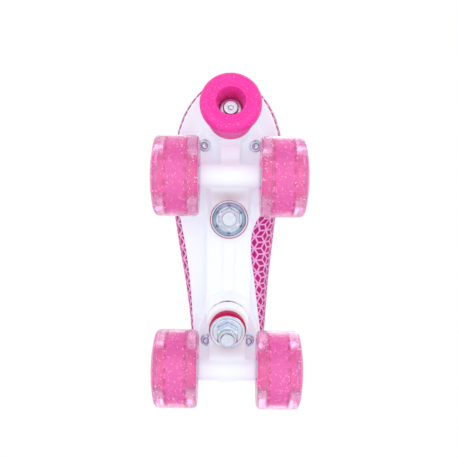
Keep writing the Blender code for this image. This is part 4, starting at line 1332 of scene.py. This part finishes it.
def boot_point(u, v):
    """A point on the outside of the boot.

    u counts rings from the toe; v runs from -1 at the outer side's lower edge, over the instep at 0, to 1 at
    the arch side's lower edge.
    """
    by, bz, ty, tz, outer, arch, girth = catmull(BOOT_RINGS, u)
    side = 1 if v > 0 else 0
    width = (arch if side else outer) * MM
    foot = min(max(sole_half(by * MM, side) - 1.2 * MM, 0), width) if u < HEEL else 0
    share = 0.22 + 0.5 * girth
    down = 1 - abs(v)
    if down < share:
        turn = math.pi / 2 * down / share
        x, height = foot + (width - foot) * math.sin(turn), girth * (1 - math.cos(turn))
    else:
        turn = math.pi / 2 * (down - share) / (1 - share)
        x = width * max(math.cos(turn), 0) ** 0.94
        height = girth + (1 - girth) * math.sin(turn) ** 0.94
    sign = 1 if side else -1
    return Vector((sign * x, (by + (ty - by) * height) * MM, (bz + (tz - bz) * height) * MM))


def boot_normal(u, v):
    """Straight out of the boot."""
    step = 0.01
    low, high = max(u - step, 0.02), min(max(u + step, 0.04), len(BOOT_RINGS) - 1)
    along = boot_point(high, v) - boot_point(low, v)
    before, after = max(v - step, -1), min(v + step, 1)
    middle = max(u, 0.03)
    over = boot_point(middle, after) - boot_point(middle, before)
    normal = over.cross(along)
    if u >= HEEL and abs(v) == 1:
        normal.x = 0
    return normal.normalized()


def on_boot(u, v, height):
    return boot_point(u, v) + boot_normal(u, v) * height


def spread(low, high, steps):
    return [low + (high - low) * i / steps for i in range(steps + 1)]


def cloth_lengths(rows, us):
    """For each grid point, the lengths along the boot and up its side from the lower edge, in flat cloth."""
    table = []
    for u, row in zip(us, rows):
        count = len(row)
        middle = count // 2
        up = [0.0] * count
        lower = max((catmull(BOOT_RINGS, u)[1] - 70.3) * MM, 0)
        up[0] = up[-1] = lower
        for start, step, stop in ((1, 1, middle + 1), (count - 2, -1, middle)):
            for j in range(start, stop, step):
                move = row[j] - row[j - step]
                up[j] = up[j - step] + math.hypot(move.x, move.z)
        table.append([(row[j].y, up[j]) for j in range(count)])
    return table


def sheet_mesh(name, us, vs, height, thick, paint, keep=None, round_off=0):
    """A layer of the boot: its outer face is at a height over the boot's surface, and it is thick inwards."""
    rows = [[boot_point(u, v) for v in vs] for u in us]
    lengths = cloth_lengths(rows, us)
    shape = bmesh.new()
    cloth = shape.loops.layers.uv.new("cloth")
    verts = [[shape.verts.new(on_boot(u, v, height)) for v in vs] for u in us]
    for i in range(len(us) - 1):
        for j in range(len(vs) - 1):
            if keep and not keep((us[i] + us[i + 1]) / 2, (vs[j] + vs[j + 1]) / 2):
                continue
            corners = ((i, j), (i + 1, j), (i + 1, j + 1), (i, j + 1))
            face = shape.faces.new([verts[a][b] for a, b in corners])
            for loop, (a, b) in zip(face.loops, corners):
                loop[cloth].uv = lengths[a][b]
    loose = [vert for vert in shape.verts if not vert.link_faces]
    bmesh.ops.delete(shape, geom=loose, context="VERTS")
    bmesh.ops.remove_doubles(shape, verts=shape.verts, dist=0.00002)
    shape.normal_update()
    mesh = bpy.data.meshes.new(name)
    shape.to_mesh(mesh)
    shape.free()
    mesh.materials.append(PAINTS[paint])
    steps = [("SOLIDIFY", {"thickness": thick, "offset": -1})]
    if round_off:
        steps.append(("SUBSURF", {"levels": round_off, "render_levels": round_off}))
    mesh = applied(mesh, *steps)
    shade(mesh, 50)
    return mesh


def sweep(name, runs, section, paint, sharp=50):
    """Bars with one section along runs of (point, up, scale), their cloth lengths as UVs."""
    shape = bmesh.new()
    cloth = shape.loops.layers.uv.new("cloth")
    count = len(section)
    for run in runs:
        rings, lengths = [], []
        travelled = 0.0
        for i, (point, up, scale) in enumerate(run):
            ahead = run[min(i + 1, len(run) - 1)][0] - run[max(i - 1, 0)][0]
            side = ahead.cross(up).normalized()
            true_up = side.cross(ahead).normalized()
            if i:
                travelled += (point - run[i - 1][0]).length
            ring = [point + side * a * scale + true_up * b * scale for a, b in section]
            rings.append([shape.verts.new(vert) for vert in ring])
            lengths.append(travelled)
        for i in range(len(rings) - 1):
            for k in range(count):
                n = (k + 1) % count
                face = shape.faces.new((rings[i][k], rings[i][n], rings[i + 1][n], rings[i + 1][k]))
                places = ((lengths[i], section[k][0]), (lengths[i], section[n][0]),
                          (lengths[i + 1], section[n][0]), (lengths[i + 1], section[k][0]))
                for loop, place in zip(face.loops, places):
                    loop[cloth].uv = place
        shape.faces.new(rings[0])
        shape.faces.new(rings[-1])
    bmesh.ops.recalc_face_normals(shape, faces=shape.faces)
    mesh = bpy.data.meshes.new(name)
    shape.to_mesh(mesh)
    shape.free()
    mesh.materials.append(PAINTS[paint])
    shade(mesh, sharp)
    return mesh


def resampled(path, pitch):
    """(point, up) at even steps along a path of (point, up)."""
    made = [path[0]]
    left = pitch
    for (start, up_start), (end, up_end) in zip(path, path[1:]):
        length = (end - start).length
        while length >= left:
            t = left / length
            start, up_start = start.lerp(end, t), up_start.lerp(up_end, t)
            made.append((start, up_start.normalized()))
            length -= left
            left = pitch
        left -= length
    return made


def stitch_run(name, paths, radius, length, gap, paint="thread"):
    """Rows of separate stitches, each a short rounded thread whose ends sink into the material."""
    quarter = length / 4
    runs = []
    for path in paths:
        points = resampled(path, quarter)
        period = 4 + max(round(gap / quarter), 1)
        for start in range(0, len(points) - 5, period):
            heights = (-0.9, 0.15, 0.45, 0.15, -0.9)
            scales = (0.5, 0.95, 1.0, 0.95, 0.5)
            runs.append([
                (points[start + k][0] + points[start + k][1] * heights[k] * radius,
                 points[start + k][1], scales[k])
                for k in range(5)
            ])
    return sweep(name, runs, circle(radius, 6), paint, 80)


def boot_path(places, height):
    return [(on_boot(u, v, height), boot_normal(u, v)) for u, v in places]


def mirrored(values):
    """Places round the boot from the outer side to the arch side, given the arch side's."""
    return [-v for v in reversed(values)] + [v for v in values if v > 0]


def open_throat(u, v):
    return u < VAMP or abs(v) > THROAT_EDGE


def make_upper():
    us = spread(0, 2, 24)[:-1] + spread(2, VAMP, 22)[:-1] + spread(VAMP, COLLAR, 84)
    half = [0] + spread(THROAT_EDGE / 4, THROAT_EDGE, 3) + spread(THROAT_EDGE, 1, 44)[1:]
    mesh = sheet_mesh("patterned_upper", us, mirrored(half), 0, UPPER_THICK, "lattice", open_throat)
    piece("patterned_upper", mesh, ROOT, "magenta_fabric", "upper")


def puffed(mesh, held, pressure, cap):
    """The padded mesh blown up by cloth simulation: held points stay, and no point passes the cap."""
    obj = bpy.data.objects.new("pad", mesh)
    bpy.context.scene.collection.objects.link(obj)
    group = obj.vertex_groups.new(name="held")
    group.add(held, 1.0, "REPLACE")
    cloth = obj.modifiers.new("Cloth", "CLOTH")
    cloth.settings.use_pressure = True
    cloth.settings.uniform_pressure_force = pressure
    cloth.settings.vertex_group_mass = "held"
    cloth.settings.tension_stiffness = 12
    cloth.settings.compression_stiffness = 12
    cloth.settings.bending_stiffness = 0.4
    cloth.settings.effector_weights.gravity = 0
    cloth.collision_settings.use_collision = False
    for step in range(1, 21):
        bpy.context.scene.frame_set(step)
    graph = bpy.context.evaluated_depsgraph_get()
    blown = obj.evaluated_get(graph).to_mesh()
    moves = [after.co - before.co for before, after in zip(mesh.vertices, blown.vertices)]
    obj.evaluated_get(graph).to_mesh_clear()
    bpy.data.objects.remove(obj)
    bpy.context.scene.frame_set(1)
    for vert, move in zip(mesh.vertices, moves):
        if move.length > cap:
            move = move.normalized() * cap
        vert.co = vert.co + move
    return mesh


def padded_layer(name, us, vs, height, thick, paint, seams, cap, slot_name, nodes, keep=None):
    """A quilted layer of the boot: cloth simulation swells it between seams, which are places along u."""
    mesh = sheet_mesh(name, us, vs, height, thick, paint, keep)
    rows = [Vector(vert.co) for vert in mesh.vertices]
    lines = [boot_point(u, v) + boot_normal(u, v) * height for u in seams for v in vs]
    held = near(rows, lines, thick * 1.05, 1.6 * MM)
    mesh = puffed(mesh, held, 4.0, cap)
    mesh = applied(mesh, ("SUBSURF", {"levels": 1, "render_levels": 1}))
    shade(mesh, 60)
    obj = piece(name, mesh, ROOT, slot_name, *nodes)
    return obj


def near(points, lines, reach, close):
    """The numbers of the points within reach below a line of points, or close to it."""
    from mathutils import kdtree

    tree = kdtree.KDTree(len(lines))
    for i, point in enumerate(lines):
        tree.insert(point, i)
    tree.balance()
    return [i for i, point in enumerate(points) if tree.find(point)[2] < max(reach, close)]


def make_lining():
    us = spread(1.2, COLLAR, 60)
    half = [0] + spread(THROAT_EDGE + 0.02, 1, 22)
    below = UPPER_THICK + LAYER_GAP

    def lined(u, v):
        return u < VAMP or abs(v) > THROAT_EDGE + 0.02

    mesh = sheet_mesh("mesh_lining", us, mirrored(half), -below, 2.6 * MM, "lining", lined)
    piece("mesh_lining", mesh, ROOT, "pink_lining", "lining")
    pad_us = spread(14.2, 18.2, 26)
    pad_vs = spread(0.27, 1, 24)
    seams = [14.2, 15.55, 16.9, 18.2]
    padded_layer(
        "padded_collar", pad_us, mirrored(pad_vs), -4.9 * MM, 3.6 * MM, "collar",
        seams, 2.2 * MM, "pink_lining", (),
        keep=lambda u, v: abs(v) > 0.26,
    )


def make_tongue():
    us = spread(4.2, 19, 56)
    half = [0] + spread(0.02, 0.235, 9)
    seams = [4.2, 6.5, 9, 11.5, 14, 16.4, 19]
    padded_layer(
        "padded_tongue", us, mirrored(half), -6.3 * MM, 4 * MM, "lining",
        seams, 1.6 * MM, "pink_lining", ("tongue",)
    )
    rim = [(19, v) for v in spread(-0.235, 0.235, 24)]
    path = [(point, up, 1) for point, up in boot_path(rim, -8.3 * MM)]
    binding = sweep("tongue_binding", [path], oval(2.7 * MM, 1.5 * MM, True), "binding")
    piece("tongue_binding", binding, ROOT, "magenta_fabric")


def oval(half_up, half_side, upright=False, steps=14):
    points = []
    for k in range(steps):
        a = 2 * math.pi * k / steps
        points.append((half_side * math.cos(a), half_up * math.sin(a)) if upright else
                      (half_up * math.cos(a), half_side * math.sin(a)))
    return points


def make_trim():
    """Eyestays, backstay, collar binding and their stitching."""
    laced = spread(VAMP + 0.15, COLLAR - 0.1, 60)
    edge = spread(THROAT_EDGE + 0.004, EYESTAY_EDGE, 8)
    thick = EYESTAY_THICK + LAYER_GAP - 0.05 * MM
    top = EYESTAY_THICK + LAYER_GAP
    for side, sign in (("outer", -1), ("arch", 1)):
        places = sorted(sign * v for v in edge)
        mesh = sheet_mesh(f"{side}_lace_stay", laced, places, top, thick, "leather", round_off=1)
        piece(f"{side}_lace_stay", mesh, ROOT, "white_trim", f"{side}_eyestay")
    behind = spread(BACKSTAY_EDGE, 1, 10)
    mesh = sheet_mesh(
        "back_stay", spread(HEEL, COLLAR, 40), wrapped(behind), top, thick, "leather", round_off=1
    )
    piece("back_stay", mesh, ROOT, "white_trim", "backstay")
    rows = []
    inner, outer = THROAT_EDGE + 0.018, EYESTAY_EDGE - 0.016
    for sign in (-1, 1):
        for v in (inner, outer, outer - 0.013):
            rows.append(boot_path([(u, sign * v) for u in spread(VAMP + 0.3, COLLAR - 0.25, 90)], top))
        for v in (BACKSTAY_EDGE + 0.012, BACKSTAY_EDGE + 0.03):
            rows.append(boot_path([(u, sign * v) for u in spread(HEEL + 0.15, COLLAR - 0.2, 60)], top))
        rows.append(boot_path([(VAMP + 0.3, sign * v) for v in spread(inner, outer, 12)], top))
    trim = stitch_run("trim_stitching", rows, 0.3 * MM, 2.4 * MM, 0.8 * MM)
    piece("trim_stitching", trim, ROOT, "magenta_fabric")
    halves = (-1, -THROAT_EDGE), (THROAT_EDGE, 1)
    round_top = tuple([(COLLAR, v) for v in spread(start, stop, 70)] for start, stop in halves)
    paths = [[(point, up, 1) for point, up in boot_path(part, -0.75 * MM)] for part in round_top]
    binding = sweep("collar_binding", paths, oval(1.5 * MM, 2.2 * MM, True), "binding")
    piece("collar_binding", binding, ROOT, "magenta_fabric")


def wrapped(half):
    """From the arch side's edge round the back to the outer side's."""
    return half + [-v for v in reversed(half)][1:]


def lace_rows():
    return spread(VAMP + 1.2, COLLAR - 1.2, LACE_ROWS - 1)


def smooth_run(controls, per_span=8):
    """(u, v, height) controls as a smooth run on the boot."""
    steps = (len(controls) - 1) * per_span
    run = []
    for i in range(steps + 1):
        u, v, height = catmull(controls, (len(controls) - 1) * i / steps)
        run.append((on_boot(u, v, height * MM), boot_normal(u, v), 1))
    return run


def make_laces():
    """A flat lace, crossed from row to row: out of an eyelet, over the tongue and under the far stay."""
    rows = lace_rows()
    reach, edge = LACE_REACH, THROAT_EDGE
    runs = [smooth_run([(rows[0], -edge - 0.02, -2.6), (rows[0], -edge, -2.4), (rows[0], -0.05, -1.6),
                        (rows[0], 0.05, -1.6), (rows[0], edge, -2.4), (rows[0], edge + 0.02, -2.6)])]
    for low, high in zip(rows, rows[1:]):
        step = high - low
        for side, lift in ((1, 0.9), (-1, -0.5)):
            runs.append(smooth_run([
                (low, side * reach, 0.4), (low + 0.02 * step, side * (reach - 0.012), 2.5),
                (low + 0.12 * step, side * (edge + 0.02), 2.9), (low + 0.25 * step, side * 0.09, 1.6),
                (low + 0.5 * step, 0, lift), (low + 0.78 * step, -side * 0.09, -1.2),
                (low + 0.93 * step, -side * edge, -2.5), (high, -side * (edge + 0.02), -2.7),
            ]))
    runs.append(smooth_run([
        (rows[-1], -reach, 0.4), (rows[-1], -reach + 0.012, 2.6),
        (rows[-1], -edge - 0.01, 2.9), (rows[-1], -0.05, 1.2),
        (rows[-1], 0.05, 1.2), (rows[-1], edge + 0.01, 2.9),
        (rows[-1], reach - 0.012, 2.6), (rows[-1], reach, 0.4),
    ]))
    section = rounded(mm([(-2.9, -0.5), (2.9, -0.5), (2.9, 0.5), (-2.9, 0.5)]), 0.45 * MM, 3)
    piece("flat_lace", sweep("flat_lace", runs, section, "lace"), ROOT, "white_lace", "lace")
    make_eyelets(rows)


def make_eyelets(rows):
    top = EYESTAY_THICK + LAYER_GAP
    corners = [
        (4.1, 0.1, 0.1), (3.9, 0.65, 0.3), (3.0, 0.9, 0.4), (2.3, 0.5, 0.3),
        (2.1, -1.2, 0.1), (2.6, -1.2, 0.1), (2.8, 0.0, 0.2),
    ]
    profile = rounded(mm(corners), 0, 4)
    rings = []
    for u in rows:
        for side in (-1, 1):
            v = side * LACE_REACH
            normal = boot_normal(u, v)
            turn = normal.to_track_quat("Z", "Y").to_matrix().to_4x4()
            place = Matrix.Translation(on_boot(u, v, top)) @ turn
            rings.append(turned(f"eyelet_{u:.1f}_{side}", profile, 36, place, "zinc"))
    piece("lace_eyelets", joined("lace_eyelets", rings), ROOT, "white_trim")


def make_insole():
    """A moulded foam sock, dished at the heel and raised under the arch."""
    steps = 160
    edge = inset(sole_outline(steps), 7 * MM)
    base = 70.35 * MM
    rings = []
    dome = (1.0, 0.0), (1.0, 2.2), (0.985, 3.1), (0.95, 3.35), (0.8, 3.2), (0.5, 2.9), (0.2, 2.7)
    for scale, top in dome:
        ring = []
        for p in edge:
            lift = 0.35 * MM * max(p.x / (20 * MM), 0) if top > 1 else 0
            ring.append((p.x * scale, p.y * scale, base + top * MM + lift * scale))
        rings.append(ring)
    verts = [vert for ring in rings for vert in ring]
    faces = [[k for k in range(steps)]]
    for level in range(len(rings) - 1):
        for k in range(steps):
            n = (k + 1) % steps
            low, high = level * steps, (level + 1) * steps
            faces.append([low + k, low + n, high + n, high + k])
    faces.append([(len(rings) - 1) * steps + k for k in range(steps)])
    mesh = mesh_of("foam_insole", verts, faces, "insole", 60)
    obj = piece("foam_insole", mesh, ROOT, "insole_foam", "insole")


# ------------------------------------------------------------------------------
# Studio


def plane(name, corners, material):
    mesh = bpy.data.meshes.new(name)
    mesh.from_pydata(corners, [], [(0, 1, 2, 3)])
    mesh.materials.append(material)
    obj = bpy.data.objects.new(name, mesh)
    bpy.context.scene.collection.objects.link(obj)
    return obj


def studio_floor():
    """A pale one-sided floor: it is clear from below, where the main camera stands."""
    paint = Paint("studio_floor")
    tone = paint.noise(6, 3)
    paint.set(
        Base_Color=paint.blend(tone, (0.90, 0.89, 0.91), (0.86, 0.85, 0.88)),
        Roughness=paint.between(tone, 0.6, 0.75),
    )
    back = paint.node("ShaderNodeNewGeometry").outputs["Backfacing"]
    clear = paint.node("ShaderNodeBsdfTransparent")
    mix = paint.node("ShaderNodeMixShader", {0: back, 1: paint.shader.outputs[0], 2: clear.outputs[0]})
    output = paint.tree.nodes["Material Output"]
    paint.tree.links.new(mix.outputs[0], output.inputs["Surface"])
    corners = [(x * FLOOR_HALF, y * FLOOR_HALF, FLOOR_Z) for x, y in ((-1, -1), (1, -1), (1, 1), (-1, 1))]
    floor = plane("studio_floor", corners, paint.material)
    floor.visible_diffuse = False
    floor.visible_glossy = False
    floor.visible_transmission = False
    floor.visible_shadow = False


def studio_world():
    """White all round, but metal sees a softer grey ring between the light below and the light above."""
    world = bpy.data.worlds.new("studio")
    bpy.context.scene.world = world
    world.use_nodes = True
    nodes, links = world.node_tree.nodes, world.node_tree.links
    shade_node = nodes["Background"]
    shade_node.inputs["Strength"].default_value = 1.0
    place = nodes.new("ShaderNodeTexCoord")
    split = nodes.new("ShaderNodeSeparateXYZ")
    links.new(place.outputs["Generated"], split.inputs[0])
    ramp = nodes.new("ShaderNodeValToRGB")
    ramp.color_ramp.interpolation = "EASE"
    stops = REFLECTED_RING
    ramp.color_ramp.elements[0].position = 0
    while len(ramp.color_ramp.elements) < len(stops):
        ramp.color_ramp.elements.new(0.5)
    for element, (position, value) in zip(ramp.color_ramp.elements, stops):
        element.position = position
        element.color = (value, value, value * 1.02, 1)
    height = nodes.new("ShaderNodeMapRange")
    height.inputs["From Min"].default_value = -1
    links.new(split.outputs["Z"], height.inputs["Value"])
    links.new(height.outputs[0], ramp.inputs[0])
    rays = nodes.new("ShaderNodeLightPath")
    lit = nodes.new("ShaderNodeMix")
    lit.data_type = "RGBA"
    links.new(rays.outputs["Is Glossy Ray"], lit.inputs[0])
    lit.inputs[6].default_value = (AMBIENT, AMBIENT, AMBIENT * 1.01, 1)
    links.new(ramp.outputs[0], lit.inputs[7])
    seen = nodes.new("ShaderNodeMix")
    seen.data_type = "RGBA"
    links.new(rays.outputs["Is Camera Ray"], seen.inputs[0])
    links.new(lit.outputs[2], seen.inputs[6])
    seen.inputs[7].default_value = (1, 1, 1, 1)
    links.new(seen.outputs[2], shade_node.inputs["Color"])


def soft_light(name, place, target, size, power, colour=(1, 1, 1), glossy=True):
    data = bpy.data.lights.new(name, "AREA")
    data.shape = "SQUARE"
    data.size = size
    data.energy = power
    data.color = colour
    light = bpy.data.objects.new(name, data)
    light.location = place
    light.rotation_euler = (Vector(target) - Vector(place)).to_track_quat("-Z", "Y").to_euler()
    light.visible_camera = False
    light.visible_glossy = glossy
    bpy.context.scene.collection.objects.link(light)


def make_camera():
    """Half a metre below the skate, leaning a little towards the toe, which is at the top of the frame."""
    forward = Vector((0, math.sin(CAMERA_PITCH), math.cos(CAMERA_PITCH)))
    up = Vector((0, -math.cos(CAMERA_PITCH), math.sin(CAMERA_PITCH)))
    right = Vector((1, 0, 0))
    side = right * math.cos(CAMERA_ROLL) + up * math.sin(CAMERA_ROLL)
    top = up * math.cos(CAMERA_ROLL) - right * math.sin(CAMERA_ROLL)
    data = bpy.data.cameras.new("photo_view")
    data.sensor_width = 36
    data.lens = CAMERA_LENS
    data.clip_start = 0.01
    camera = bpy.data.objects.new("photo_view", data)
    turn = Matrix((side, top, -forward)).transposed()
    camera.matrix_world = Matrix.Translation(CAMERA_TARGET - forward * CAMERA_DISTANCE) @ turn.to_4x4()
    bpy.context.scene.collection.objects.link(camera)
    bpy.context.scene.camera = camera


def make_studio():
    make_camera()
    studio_world()
    studio_floor()
    soft_light("below_camera", (0, -0.14, -0.68), (0, 0, 0.03), 0.5, 0.9, glossy=False)
    soft_light("below_left", (-0.45, -0.55, -0.75), (0, 0, 0.05), 0.9, 0.7)
    soft_light("below_right", (0.5, 0.1, -0.8), (0, 0, 0.05), 0.9, 0.5, (1.0, 0.98, 1.0))
    soft_light("above", (0.3, -0.4, 1.2), (0, 0, 0.1), 0.9, 5.0)
    view = bpy.context.scene.view_settings
    view.view_transform = "Standard"
    view.look = "None"


def make_skate():
    for end in ENDS:
        make_axle(end)
        make_hanger(end)
        make_kingpin(end)
        make_washers(end)
        make_cushions(end)
        make_pivot_cup(end)
        for side in SIDES:
            make_wheel(end, side, seed=len(end) * 10 + len(side))
            make_plate_bolt(end, side)
    make_plate()
    make_toe_stop()
    make_outsole()
    make_insole()
    make_upper()
    make_lining()
    make_tongue()
    make_trim()
    make_laces()


make_studio()
make_skate()
